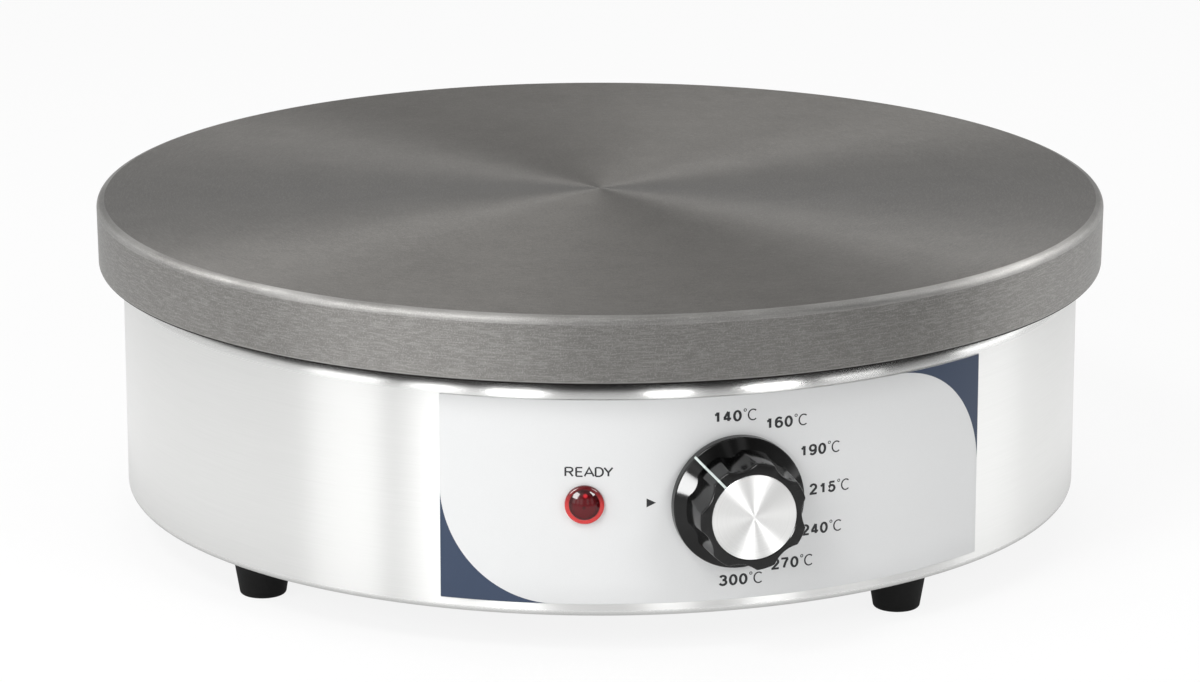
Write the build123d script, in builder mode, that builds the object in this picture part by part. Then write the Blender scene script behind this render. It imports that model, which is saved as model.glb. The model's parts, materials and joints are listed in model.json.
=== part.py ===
from build123d import *
import os
from math import asin, cos, degrees, radians, sin, sqrt

# Electric crepe maker: a round cast-iron griddle plate carried on three columns
# above a drum-shaped steel housing with a control panel, on four rubber feet.
# Millimetres. The origin is on the drum's axis at table level, +Z points up and
# the middle of the control panel faces -Y.

os.makedirs("parts", exist_ok=True)

# ---------------------------------------------------------------- driving sizes

# Stack, from the table up
foot_height = 14.5
base_thickness = 1.0
drum_height = 89.7
plate_gap = 1.5
skirt_height = 25.8

# Griddle plate
plate_diameter = 400.0
plate_thickness = 12.0
skirt_wall = 12.0
plate_edge_radius = 3.0
skirt_edge_radius = 1.2
skirt_inner_chamfer = 1.0
boss_height = 4.0
boss_wall = 5.0

# Drum of sheet steel, with an inward flange at each end
plate_overhang = 10.0
drum_sheet = 0.8
top_bend = 6.0
bottom_bend = 2.5
top_flange_width = 6.0
bottom_flange_width = 10.5

# Base plate and its vents
base_inset = 5.5
outer_vent_count = 24
outer_vent_inset = 30.0
outer_vent_length = 22.0
inner_vent_count = 12
inner_vent_circle = 42.0
inner_vent_length = 24.0
vent_width = 5.0

# Feet: angles are in degrees from the middle of the panel, towards +X
foot_count = 4
foot_first_angle = -64.1
foot_inset = 18.5
foot_top_diameter = 22.4
foot_bottom_diameter = 17.6
foot_edge_radius = 1.2
foot_stud_radius = 2.5
foot_stud_depth = 8.0
foot_nut_thickness = 4.0

# Columns between the base plate and the griddle plate
column_count = 3
column_first_angle = 40.0
column_inset = 22.0
column_radius = 6.0
column_stud_radius = 3.9
column_stud_length = 9.0
column_bolt_radius = 2.9
column_bolt_depth = 12.0

# Screws and bolts
thread_clearance = 0.05
hole_clearance = 0.3
base_screw_count = 6
base_screw_first_angle = 10.0
base_screw_radius = 1.9
countersunk_radius = 3.5
pan_head_radius = 3.5
pan_head_height = 2.2
small_hex_radius = 4.6
small_hex_height = 4.0
large_hex_radius = 5.77
large_hex_height = 4.0
screw_tip = 3.0
thread_end_gap = 1.0
stud_projection = 1.5

# Heating element: a sheathed tube in four arcs joined by U-turns
element_tube_radius = 4.0
element_arc_count = 4
element_outer_margin = 8.0
element_inner_margin = 10.0
element_half_gap_angle = 24.0
element_bend_radius = 14.0
cold_end_below_plate = 30.5
seat_clearance = 0.05
bead_radius = 5.0
bead_length = 4.0
pin_radius = 1.5
pin_length = 6.0

# Clamp plate, insulation and heat shield under the element
clamp_thickness = 2.0
clamp_margin = 2.0
clamp_window_gap = 2.0
clamp_stud_count = 4
clamp_stud_first_angle = 45.0
clamp_stud_radius = 2.9
clamp_stud_depth = 7.0
insulation_thickness = 12.0
insulation_column_gap = 4.0
shield_sheet = 0.8
shield_rim_height = 8.0
shield_rim_gap = 1.2
slot_clearance = 1.0

# Temperature sensors under the middle of the plate
bulb_radius = 3.0
bulb_length = 70.0
bulb_left_end = -40.0
bulb_spacing = 18.0
capillary_radius = 1.0
capillary_lead = 10.0
strap_width = 14.0
strap_length = 44.0
strap_thickness = 1.5
strap_screw_spacing = 36.0
strap_screw_depth = 6.0

# Control panel
panel_width = 221.0
panel_thickness = 0.5
panel_bottom_margin = 5.2
panel_top_margin = 6.4
panel_film = 0.03

# Thermostat behind the panel
knob_rise = 43.5
bracket_width = 16.0
bracket_height = 40.0
bracket_thickness = 1.5
thermostat_screw_spacing = 28.0
thermostat_screw_grip = 4.0
thermostat_head_height = 1.6
thermostat_width = 44.0
thermostat_body_height = 30.0
thermostat_depth = 36.0
bush_radius = 5.0
bush_hole_radius = 6.0
shaft_radius = 3.0
shaft_flat = 2.0
shaft_in_body = 15.0
shaft_in_knob = 14.0
running_clearance = 0.05
spade_width = 6.3
spade_thickness = 0.8
spade_length = 8.0
spade_spacing = 12.0
spade_drop = 9.0

# Control knob
knob_gap = 0.65
knob_skirt_radius = 25.0
knob_rim_height = 3.6
knob_skirt_height = 5.2
knob_skirt_edge = 0.8
knob_grip_base_radius = 21.0
knob_grip_front_radius = 20.3
knob_length = 22.7
knob_front_edge = 0.7
flute_count = 7
flute_base_radius = 9.9
flute_floor_radius = 19.6
flute_taper = 5.2
flute_lag_angle = 3.3
pointer_angle = 132.3
pointer_width = 0.9
pointer_depth = 0.6
pointer_proud = 0.1
knob_rim_wall = 3.4
knob_rim_cavity = 3.0
knob_hub_radius = 8.0
knob_core_radius = 15.5
knob_front_wall = 5.0
cap_radius = 16.0
cap_thickness = 0.9
cap_recess = 0.1
spring_ring_wall = 0.8
spring_ring_width = 2.0

# Indicator lamp, left of the knob
lamp_arc = 56.2
lamp_rise = 43.7
lamp_barrel_radius = 5.9
lamp_barrel_wall = 1.3
lamp_length = 22.0
lamp_end_wall = 2.0
lens_flange_radius = 7.3
lens_flange_thickness = 2.0
lens_dome_radius = 5.75
lens_dome_height = 2.6
lens_wall = 1.5
lens_edge = 1.0
lamp_nut_radius = 9.0
lamp_nut_thickness = 3.0
neon_radius = 2.5
neon_length = 14.0
lamp_lead_spacing = 5.0

# Cable gland in the rear wall
gland_angle = 180.0
gland_rise = 29.5
gland_thread_radius = 8.0
gland_thread_length = 12.0
gland_hex_radius = 11.5
gland_hex_thickness = 5.0
gland_collar_length = 8.0
gland_bore_radius = 5.6
gland_nut_radius = 12.7
gland_nut_thickness = 5.0
gland_seat_depth = 4.0
cable_bore_radius = 4.75
gland_seal_radius = 7.5
gland_seal_length = 9.0
gland_cap_radius = 11.2
gland_cap_gap = 1.0
gland_cap_end = 4.0
gland_mouth_radius = 5.4
gland_cap_edge = 1.5
gland_cap_grooves = 12
gland_groove_radius = 1.2

# Terminal block and earth stud, inside the rear of the base
block_centre_y = 110.0
block_width = 50.0
block_depth = 22.0
block_height = 18.0
pole_count = 4
pole_pitch = 11.0
pole_hole_radius = 2.0
pole_hole_depth = 8.0
pole_rise = 8.0
pole_screw_radius = 2.2
pole_screw_depth = 3.0
pole_screw_row = 12.0
block_screw_spacing = 40.0
block_screw_radius = 1.5
block_screw_depth = 6.0
block_head_radius = 2.8
block_head_height = 1.8
earth_x = 50.0
earth_y = 110.0
earth_stud_radius = 2.45
earth_stud_length = 12.0
lug_thickness = 0.8
lug_radius = 5.0
lug_barrel_radius = 2.0
lug_barrel_length = 8.0

# Overheat limiter with a reset button through the base plate
limiter_x = -75.0
limiter_y = 30.0
limiter_width = 36.0
limiter_depth = 26.0
limiter_height = 24.0
limiter_screw_spacing = 28.0
limiter_screw_depth = 8.0
limiter_neck_radius = 5.0
reset_pin_radius = 2.5
reset_pin_length = 11.0
reset_head_radius = 3.3
reset_head_height = 2.0
reset_travel = 1.5
reset_end_gap = 0.2
limiter_spade_spacing = 16.0

# Internal wiring: each lead leaves its terminals straight and bends over the halfway point
wire_radius = 1.2
wire_bend = 6.0
lead_straight = 16.0
lead_rise = 8.0
capillary_bend = 8.0
capillary_drop = 14.0
capillary_port_x = 10.0
capillary_port_rise = 9.0
limiter_port_y = 6.0
limiter_port_rise = 16.8

# -------------------------------------------------------------- derived places

front = -90.0

base_bottom = foot_height
base_top = base_bottom + base_thickness
drum_bottom = base_top
drum_top = drum_bottom + drum_height
skirt_bottom = drum_top + plate_gap
plate_top = skirt_bottom + skirt_height
plate_underside = plate_top - plate_thickness

plate_radius = plate_diameter / 2
skirt_inner_radius = plate_radius - skirt_wall
drum_radius = plate_radius - plate_overhang
drum_inner_radius = drum_radius - drum_sheet
top_flange_inner = drum_radius - top_bend - top_flange_width
bottom_flange_inner = drum_radius - bottom_bend - bottom_flange_width
base_radius = drum_radius - base_inset
base_screw_circle = (bottom_flange_inner + base_radius) / 2
countersunk_height = countersunk_radius - base_screw_radius
foot_circle = drum_radius - foot_inset
outer_vent_circle = foot_circle - outer_vent_inset
column_circle = drum_radius - column_inset
boss_bottom = plate_underside - boss_height
boss_radius = column_stud_radius + boss_wall

bulb_right_end = bulb_left_end + bulb_length
capillary_x = bulb_right_end + capillary_lead
capillary_reach = sqrt(capillary_x ** 2 + (bulb_spacing / 2) ** 2) + capillary_radius
clamp_window_radius = capillary_reach + clamp_window_gap

insulation_radius = column_circle - column_radius - insulation_column_gap
element_outer_radius = insulation_radius - element_outer_margin
element_inner_radius = clamp_window_radius + element_inner_margin
element_pitch = (element_outer_radius - element_inner_radius) / (element_arc_count - 1)
clamp_stud_circle = element_outer_radius - 1.5 * element_pitch
element_height = plate_underside - seat_clearance - element_tube_radius
cold_end_bottom = plate_underside - cold_end_below_plate
clamp_top = element_height - element_tube_radius - seat_clearance
clamp_bottom = clamp_top - clamp_thickness
clamp_radius = insulation_radius - clamp_margin
insulation_bottom = clamp_bottom - insulation_thickness
shield_bottom = insulation_bottom - shield_sheet
shield_inner_radius = insulation_radius + shield_rim_gap
clamp_stud_bottom = shield_bottom - small_hex_height - screw_tip

bulb_height = plate_underside - seat_clearance - bulb_radius
strap_bottom = bulb_height - bulb_radius - seat_clearance - strap_thickness

panel_inner_radius = drum_radius + panel_film
panel_outer_radius = panel_inner_radius + panel_thickness
panel_bottom = drum_bottom + panel_bottom_margin
panel_height = drum_height - panel_bottom_margin - panel_top_margin
panel_angle = degrees(panel_width / drum_radius)

knob_height = drum_bottom + knob_rise
bracket_front = sqrt(drum_inner_radius ** 2 - (bracket_width / 2) ** 2) - seat_clearance
bracket_back = bracket_front - bracket_thickness
thermostat_back = bracket_back - thermostat_depth
bush_front = panel_outer_radius + knob_gap / 2
thermostat_head_seat = panel_outer_radius + seat_clearance
spade_end = thermostat_back - spade_length
spade_height = knob_height - spade_drop

knob_back = panel_outer_radius + knob_gap
knob_rim_front = knob_back + knob_rim_height
knob_skirt_front = knob_back + knob_skirt_height
knob_front = knob_back + knob_length
cap_back = knob_front - cap_recess - cap_thickness
grip_taper = (knob_grip_base_radius - knob_grip_front_radius) / (knob_length - knob_skirt_height)
skirt_slope = (knob_skirt_front - knob_rim_front) / (knob_skirt_radius - knob_grip_base_radius)
spring_ring_back = thermostat_head_seat + thermostat_head_height + spring_ring_wall / 2
shaft_back = bracket_back - shaft_in_body
shaft_front = knob_back + shaft_in_knob

lamp_angle = -degrees(lamp_arc / panel_outer_radius)
lamp_height = drum_bottom + lamp_rise
lamp_inner_end = panel_outer_radius - lamp_length
lens_step = panel_outer_radius + lens_flange_thickness
lamp_nut_front = sqrt(drum_inner_radius ** 2 - lamp_nut_radius ** 2) - seat_clearance

gland_height = drum_bottom + gland_rise
gland_face = drum_radius + seat_clearance
gland_hex_end = gland_face + gland_hex_thickness
gland_collar_end = gland_hex_end + gland_collar_length
gland_nut_outer_face = sqrt(drum_inner_radius ** 2 - gland_nut_radius ** 2) - seat_clearance
gland_seat = gland_collar_end - gland_seat_depth
gland_seal_end = gland_seat + gland_seal_length
gland_cap_start = gland_hex_end + gland_cap_gap
gland_end = gland_seal_end + gland_cap_end

limiter_top = base_top + limiter_height
reset_travel_room = reset_travel + reset_end_gap
reset_head_bottom = base_bottom - reset_travel_room - reset_head_height
reset_pin_top = base_bottom - reset_travel_room + reset_pin_length
earth_nut_bottom = base_top + lug_thickness
pole_height = base_top + pole_rise
block_front = block_centre_y - block_depth / 2


# ------------------------------------------------------------ helper functions


def radial_plane(angle, height, distance):
    """Plane facing outward from the drum's axis, angle degrees from the panel's middle."""
    outward = (sin(radians(angle)), -cos(radians(angle)), 0)
    along = (cos(radians(angle)), sin(radians(angle)), 0)
    origin = (outward[0] * distance, outward[1] * distance, height)
    return Plane(origin=origin, x_dir=along, z_dir=outward)


def turning_plane(facing):
    """Half-plane through a facing plane's axis: x is the radius, y the way along the axis."""
    return Plane(origin=facing.origin, x_dir=facing.x_dir, z_dir=-facing.y_dir)


def ring_point(radius, angle, height):
    """Point on a circle about the drum's axis, angle in degrees from +X."""
    return (radius * cos(radians(angle)), radius * sin(radians(angle)), height)


def column_places():
    return PolarLocations(column_circle, column_count, front + column_first_angle)


def foot_places():
    return PolarLocations(foot_circle, foot_count, front + foot_first_angle)


def base_screw_places():
    return PolarLocations(base_screw_circle, base_screw_count, front + base_screw_first_angle)


def clamp_stud_places():
    return PolarLocations(clamp_stud_circle, clamp_stud_count, clamp_stud_first_angle)


def tube(points, radius, bend):
    """Round tube along straight runs joined by tangent arcs."""
    with BuildPart() as run:
        with BuildLine():
            path = FilletPolyline(*points, radius=bend)
        with BuildSketch(Plane(origin=path @ 0, z_dir=path % 0)):
            Circle(radius)
        sweep(path=path)
    return run.part


def keep(piece, name):
    """Label a finished piece and write it as one STEP file."""
    piece.part.label = name
    export_step(piece.part, f"parts/{name}.step")


# --------------------------------------------------------------- griddle plate

with BuildPart() as griddle_plate:
    with BuildSketch(Plane.XY.offset(skirt_bottom)):
        Circle(plate_radius)
    extrude(amount=skirt_height)
    with BuildSketch(Plane.XY.offset(skirt_bottom)):
        Circle(skirt_inner_radius)
    extrude(amount=skirt_height - plate_thickness, mode=Mode.SUBTRACT)
    fillet(griddle_plate.faces().sort_by(Axis.Z)[-1].edges(), plate_edge_radius)
    skirt_ring = griddle_plate.faces().sort_by(Axis.Z)[0]
    fillet(skirt_ring.outer_wire().edges(), skirt_edge_radius)
    skirt_ring = griddle_plate.faces().sort_by(Axis.Z)[0]
    chamfer(skirt_ring.inner_wires().edges(), skirt_inner_chamfer)
    with BuildSketch(Plane.XY.offset(boss_bottom)):
        with column_places():
            Circle(boss_radius)
    extrude(amount=boss_height)
    with BuildSketch(Plane.XY.offset(boss_bottom)):
        with column_places():
            Circle(column_stud_radius + thread_clearance)
    extrude(amount=column_stud_length + thread_end_gap, mode=Mode.SUBTRACT)
    with BuildSketch(Plane.XY.offset(plate_underside)):
        with clamp_stud_places():
            Circle(clamp_stud_radius + thread_clearance)
        with GridLocations(1, strap_screw_spacing, 1, 2):
            Circle(base_screw_radius + thread_clearance)
    extrude(amount=clamp_stud_depth, mode=Mode.SUBTRACT)
keep(griddle_plate, "griddle_plate")

# --------------------------------------------------- columns, bolts and base

with BuildPart() as plate_columns:
    with BuildSketch(Plane.XY.offset(base_top)):
        with column_places():
            Circle(column_radius)
    extrude(amount=boss_bottom - base_top)
    with BuildSketch(Plane.XY.offset(boss_bottom)):
        with column_places():
            Circle(column_stud_radius)
    extrude(amount=column_stud_length)
    with BuildSketch(Plane.XY.offset(base_top)):
        with column_places():
            Circle(column_bolt_radius + thread_clearance)
    extrude(amount=column_bolt_depth, mode=Mode.SUBTRACT)
keep(plate_columns, "plate_columns")

with BuildPart() as column_bolts:
    with BuildSketch(Plane.XY.offset(base_bottom - large_hex_height)):
        with column_places():
            RegularPolygon(large_hex_radius, 6)
    extrude(amount=large_hex_height)
    with BuildSketch(Plane.XY.offset(base_bottom)):
        with column_places():
            Circle(column_bolt_radius)
    extrude(amount=base_thickness + column_bolt_depth - thread_end_gap)
keep(column_bolts, "column_bolts")

with BuildPart() as base_plate:
    with BuildSketch(Plane.XY.offset(base_bottom)):
        Circle(base_radius)
        with column_places():
            Circle(column_bolt_radius + hole_clearance, mode=Mode.SUBTRACT)
        with foot_places():
            Circle(foot_stud_radius + hole_clearance, mode=Mode.SUBTRACT)
        with PolarLocations(outer_vent_circle, outer_vent_count, front):
            SlotOverall(outer_vent_length, vent_width, mode=Mode.SUBTRACT)
        with PolarLocations(inner_vent_circle, inner_vent_count, front):
            SlotOverall(inner_vent_length, vent_width, mode=Mode.SUBTRACT)
        with Locations((earth_x, earth_y)):
            Circle(earth_stud_radius + hole_clearance, mode=Mode.SUBTRACT)
        with Locations((limiter_x, limiter_y)):
            Circle(limiter_neck_radius + hole_clearance, mode=Mode.SUBTRACT)
            with GridLocations(limiter_screw_spacing, 1, 2, 1):
                Circle(base_screw_radius + hole_clearance, mode=Mode.SUBTRACT)
        with Locations((0, block_centre_y)):
            with GridLocations(block_screw_spacing, 1, 2, 1):
                Circle(block_screw_radius + hole_clearance, mode=Mode.SUBTRACT)
    extrude(amount=base_thickness)
    with BuildSketch(Plane.XY.offset(base_bottom)):
        with base_screw_places():
            Circle(countersunk_radius + thread_clearance)
    extrude(amount=countersunk_height, taper=45, mode=Mode.SUBTRACT)
keep(base_plate, "base_plate")

with BuildPart() as base_screws:
    with BuildSketch(Plane.XY.offset(base_bottom)):
        with base_screw_places():
            Circle(countersunk_radius)
    extrude(amount=countersunk_height, taper=45)
    with BuildSketch(Plane.XY.offset(base_bottom)):
        with base_screw_places():
            Circle(base_screw_radius)
    extrude(amount=base_thickness + drum_sheet + screw_tip)
keep(base_screws, "base_screws")

# ------------------------------------------------------------------------ feet

with foot_places() as foot_spots:
    foot_centres = [spot.position for spot in foot_spots.locations]

for number, centre in enumerate(foot_centres, start=1):
    with BuildPart() as foot:
        with BuildSketch(Plane.XY):
            with Locations((centre.X, centre.Y)):
                Circle(foot_bottom_diameter / 2)
        with BuildSketch(Plane.XY.offset(foot_height)):
            with Locations((centre.X, centre.Y)):
                Circle(foot_top_diameter / 2)
        loft()
        fillet(foot.faces().sort_by(Axis.Z)[0].edges(), foot_edge_radius)
        with BuildSketch(Plane.XY.offset(foot_height)):
            with Locations((centre.X, centre.Y)):
                Circle(foot_stud_radius + thread_clearance)
        extrude(amount=-foot_stud_depth, mode=Mode.SUBTRACT)
    keep(foot, f"foot_{number}")

with BuildPart() as foot_studs:
    with BuildSketch(Plane.XY.offset(base_bottom - foot_stud_depth)):
        with foot_places():
            Circle(foot_stud_radius)
    extrude(amount=foot_stud_depth + base_thickness + foot_nut_thickness + stud_projection)
keep(foot_studs, "foot_studs")

with BuildPart() as foot_nuts:
    with BuildSketch(Plane.XY.offset(base_top)):
        with foot_places():
            RegularPolygon(small_hex_radius, 6)
            Circle(foot_stud_radius + thread_clearance, mode=Mode.SUBTRACT)
    extrude(amount=foot_nut_thickness)
keep(foot_nuts, "foot_nuts")

# ------------------------------------------------------------------------ drum

wall_cut_start = drum_inner_radius - drum_sheet
wall_cut = 3 * drum_sheet

with BuildPart() as housing_drum:
    with BuildSketch(Plane.XZ):
        with BuildLine():
            FilletPolyline(
                (bottom_flange_inner, drum_bottom),
                (drum_radius, drum_bottom),
                (drum_radius, drum_top),
                (top_flange_inner, drum_top),
                radius=[bottom_bend, top_bend],
            )
            offset(amount=drum_sheet, side=Side.LEFT)
        make_face()
    revolve(axis=Axis.Z)
    with BuildSketch(radial_plane(0, knob_height, wall_cut_start)):
        Circle(bush_hole_radius)
        with GridLocations(1, thermostat_screw_spacing, 1, 2):
            Circle(base_screw_radius + hole_clearance)
    extrude(amount=wall_cut, mode=Mode.SUBTRACT)
    with BuildSketch(radial_plane(lamp_angle, lamp_height, wall_cut_start)):
        Circle(lamp_barrel_radius + hole_clearance)
    extrude(amount=wall_cut, mode=Mode.SUBTRACT)
    with BuildSketch(radial_plane(gland_angle, gland_height, wall_cut_start)):
        Circle(gland_thread_radius + hole_clearance)
    extrude(amount=wall_cut, mode=Mode.SUBTRACT)
    with BuildSketch(Plane.XY.offset(drum_bottom)):
        with base_screw_places():
            Circle(base_screw_radius + thread_clearance)
    extrude(amount=drum_sheet, mode=Mode.SUBTRACT)
    with BuildSketch(Plane.XY.offset(base_bottom)):
        with base_screw_places():
            Circle(countersunk_radius + thread_clearance)
    extrude(amount=countersunk_height, taper=45, mode=Mode.SUBTRACT)
keep(housing_drum, "housing_drum")

# ------------------------------------------------- heating element and its clamp

arc_start = front + element_half_gap_angle
arc_end = front + 360 - element_half_gap_angle
arc_sweep = arc_end - arc_start
forward = (-sin(radians(arc_start)), cos(radians(arc_start)))
turn_at_end = (-sin(radians(arc_end)), cos(radians(arc_end)))
outer_start = ring_point(element_outer_radius, arc_start, element_height)
inner_start = ring_point(element_inner_radius, arc_start, element_height)
cold_bend_height = element_height - element_bend_radius


def beside(point, step):
    """Where a cold end stands: a bend's radius from an arc's end, into the gap."""
    return (point[0] + forward[0] * step, point[1] + forward[1] * step)


outer_cold = beside(outer_start, -element_bend_radius)
inner_cold = beside(inner_start, -element_bend_radius)

with BuildPart() as heating_element:
    with BuildLine() as element_path:
        Line((*outer_cold, cold_end_bottom), (*outer_cold, cold_bend_height))
        TangentArc((*outer_cold, cold_bend_height), outer_start, tangent=(0, 0, 1))
        for arc in range(element_arc_count):
            radius = element_outer_radius - arc * element_pitch
            away = arc % 2 == 0
            heading = (*turn_at_end, 0) if away else (-forward[0], -forward[1], 0)
            turn_angle = arc_end if away else arc_start
            CenterArc((0, 0, element_height), radius, arc_start, arc_sweep)
            if arc < element_arc_count - 1:
                TangentArc(
                    ring_point(radius, turn_angle, element_height),
                    ring_point(radius - element_pitch, turn_angle, element_height),
                    tangent=heading,
                )
        TangentArc((*inner_cold, cold_bend_height), inner_start, tangent=(0, 0, 1))
        Line((*inner_cold, cold_end_bottom), (*inner_cold, cold_bend_height))
    with BuildSketch(Plane.XY.offset(cold_end_bottom)):
        with Locations(outer_cold):
            Circle(element_tube_radius)
    sweep(path=element_path.wire())
keep(heating_element, "heating_element")

with BuildPart() as element_beads:
    with BuildSketch(Plane.XY.offset(cold_end_bottom)):
        with Locations(outer_cold, inner_cold):
            Circle(bead_radius)
    extrude(amount=-bead_length)
keep(element_beads, "element_beads")

with BuildPart() as element_pins:
    with BuildSketch(Plane.XY.offset(cold_end_bottom - bead_length)):
        with Locations(outer_cold, inner_cold):
            Circle(pin_radius)
    extrude(amount=-pin_length)
keep(element_pins, "element_pins")

capillary_spots = [(capillary_x, -bulb_spacing / 2), (capillary_x, bulb_spacing / 2)]


def cold_end_slots(clearance):
    """Slots for the element's two ends, each as long as its bend."""
    for start, foot in ((outer_start, outer_cold), (inner_start, inner_cold)):
        with Locations(((start[0] + foot[0]) / 2, (start[1] + foot[1]) / 2)):
            SlotCenterToCenter(
                element_bend_radius,
                2 * (element_tube_radius + clearance),
                rotation=degrees(asin(forward[1])),
                mode=Mode.SUBTRACT,
            )


with BuildPart() as element_clamp_plate:
    with BuildSketch(Plane.XY.offset(clamp_bottom)):
        Circle(clamp_radius)
        Circle(clamp_window_radius, mode=Mode.SUBTRACT)
        with clamp_stud_places():
            Circle(clamp_stud_radius + hole_clearance, mode=Mode.SUBTRACT)
        cold_end_slots(slot_clearance)
    extrude(amount=clamp_thickness)
keep(element_clamp_plate, "element_clamp_plate")

with BuildPart() as clamp_studs:
    with BuildSketch(Plane.XY.offset(clamp_stud_bottom)):
        with clamp_stud_places():
            Circle(clamp_stud_radius)
    extrude(amount=plate_underside + clamp_stud_depth - thread_end_gap - clamp_stud_bottom)
keep(clamp_studs, "clamp_studs")

with BuildPart() as clamp_nuts:
    for nut_top in (clamp_bottom, shield_bottom):
        with BuildSketch(Plane.XY.offset(nut_top - small_hex_height)):
            with clamp_stud_places():
                RegularPolygon(small_hex_radius, 6)
                Circle(clamp_stud_radius + thread_clearance, mode=Mode.SUBTRACT)
        extrude(amount=small_hex_height)
keep(clamp_nuts, "clamp_nuts")

with BuildPart() as insulation_disc:
    with BuildSketch(Plane.XY.offset(insulation_bottom)):
        Circle(insulation_radius)
        with clamp_stud_places():
            Circle(clamp_stud_radius + hole_clearance, mode=Mode.SUBTRACT)
        with Locations(*capillary_spots):
            Circle(capillary_radius + slot_clearance, mode=Mode.SUBTRACT)
        cold_end_slots(slot_clearance)
    extrude(amount=insulation_thickness)
    with BuildSketch(Plane.XY.offset(clamp_bottom)):
        with clamp_stud_places():
            Circle(small_hex_radius + slot_clearance)
    extrude(amount=-small_hex_height - slot_clearance, mode=Mode.SUBTRACT)
keep(insulation_disc, "insulation_disc")

with BuildPart() as heat_shield:
    with BuildSketch(Plane.XY.offset(shield_bottom)):
        Circle(shield_inner_radius + shield_sheet)
    extrude(amount=shield_sheet + shield_rim_height)
    with BuildSketch(Plane.XY.offset(insulation_bottom)):
        Circle(shield_inner_radius)
    extrude(amount=shield_rim_height, mode=Mode.SUBTRACT)
    with BuildSketch(Plane.XY.offset(shield_bottom)):
        with clamp_stud_places():
            Circle(clamp_stud_radius + hole_clearance)
        with Locations(*capillary_spots):
            Circle(capillary_radius + slot_clearance)
        with Locations(outer_cold, inner_cold):
            Circle(element_tube_radius + slot_clearance)
    extrude(amount=shield_sheet, mode=Mode.SUBTRACT)
keep(heat_shield, "heat_shield")

# -------------------------------------------------------- temperature sensors


def bulb_plane(side):
    """Plane at a sensor bulb's left end, facing along +X; side is -1 or 1."""
    return Plane(origin=(bulb_left_end, side * bulb_spacing / 2, bulb_height), z_dir=(1, 0, 0))


for side, name in ((-1, "thermostat_bulb"), (1, "limiter_bulb")):
    with BuildPart() as bulb:
        with BuildSketch(bulb_plane(side)):
            Circle(bulb_radius)
        extrude(amount=bulb_length)
        fillet(bulb.edges().filter_by(GeomType.CIRCLE), bulb_radius / 3)
    keep(bulb, name)

with BuildPart() as bulb_strap:
    with BuildSketch(Plane.XY.offset(strap_bottom)):
        RectangleRounded(strap_width, strap_length, strap_width / 3)
        with GridLocations(1, strap_screw_spacing, 1, 2):
            Circle(base_screw_radius + hole_clearance, mode=Mode.SUBTRACT)
    extrude(amount=strap_thickness)
keep(bulb_strap, "bulb_strap")

with BuildPart() as bulb_strap_screws:
    with BuildSketch(Plane.XY.offset(strap_bottom - pan_head_height)):
        with GridLocations(1, strap_screw_spacing, 1, 2):
            Circle(pan_head_radius)
    extrude(amount=pan_head_height)
    with BuildSketch(Plane.XY.offset(strap_bottom)):
        with GridLocations(1, strap_screw_spacing, 1, 2):
            Circle(base_screw_radius)
    extrude(amount=plate_underside + strap_screw_depth - strap_bottom)
keep(bulb_strap_screws, "bulb_strap_screws")

# --------------------------------------------------------------- control panel

panel_edge = radial_plane(-panel_angle / 2, 0, 0)

with BuildPart() as control_panel:
    with BuildSketch(Plane(origin=(0, 0, 0), x_dir=panel_edge.z_dir, z_dir=-panel_edge.x_dir)):
        with Locations((panel_inner_radius, panel_bottom)):
            Rectangle(panel_thickness, panel_height, align=(Align.MIN, Align.MIN))
    revolve(axis=Axis.Z, revolution_arc=panel_angle)
    with BuildSketch(radial_plane(0, knob_height, wall_cut_start)):
        Circle(bush_hole_radius)
        with GridLocations(1, thermostat_screw_spacing, 1, 2):
            Circle(base_screw_radius + hole_clearance)
    extrude(amount=wall_cut + panel_thickness, mode=Mode.SUBTRACT)
    with BuildSketch(radial_plane(lamp_angle, lamp_height, wall_cut_start)):
        Circle(lamp_barrel_radius + hole_clearance)
    extrude(amount=wall_cut + panel_thickness, mode=Mode.SUBTRACT)
keep(control_panel, "control_panel")

# ------------------------------------------------------------------ thermostat

with BuildPart() as thermostat_bracket:
    with BuildSketch(radial_plane(0, knob_height, bracket_back)):
        RectangleRounded(bracket_width, bracket_height, bracket_width / 8)
        Circle(bush_radius + thread_clearance, mode=Mode.SUBTRACT)
        with GridLocations(1, thermostat_screw_spacing, 1, 2):
            Circle(base_screw_radius + thread_clearance, mode=Mode.SUBTRACT)
    extrude(amount=bracket_thickness)
keep(thermostat_bracket, "thermostat_bracket")

with BuildPart() as thermostat_body:
    with BuildSketch(radial_plane(0, knob_height, thermostat_back)):
        RectangleRounded(thermostat_width, thermostat_body_height, thermostat_body_height / 10)
    extrude(amount=thermostat_depth)
    with BuildSketch(radial_plane(0, knob_height, bracket_back)):
        Circle(bush_radius)
    extrude(amount=bush_front - bracket_back)
    with BuildSketch(radial_plane(0, knob_height, shaft_back - seat_clearance)):
        Circle(shaft_radius + running_clearance)
    extrude(amount=bush_front - shaft_back + seat_clearance, mode=Mode.SUBTRACT)
    with BuildSketch(radial_plane(0, knob_height, bracket_back)):
        with GridLocations(1, thermostat_screw_spacing, 1, 2):
            Circle(base_screw_radius + hole_clearance)
    extrude(amount=-thermostat_screw_grip, mode=Mode.SUBTRACT)
keep(thermostat_body, "thermostat_body")

with BuildPart() as thermostat_screws:
    with BuildSketch(radial_plane(0, knob_height, thermostat_head_seat)):
        with GridLocations(1, thermostat_screw_spacing, 1, 2):
            Circle(pan_head_radius)
    extrude(amount=thermostat_head_height)
    with BuildSketch(radial_plane(0, knob_height, bracket_back - stud_projection)):
        with GridLocations(1, thermostat_screw_spacing, 1, 2):
            Circle(base_screw_radius)
    extrude(amount=thermostat_head_seat - bracket_back + stud_projection)
keep(thermostat_screws, "thermostat_screws")

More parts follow.
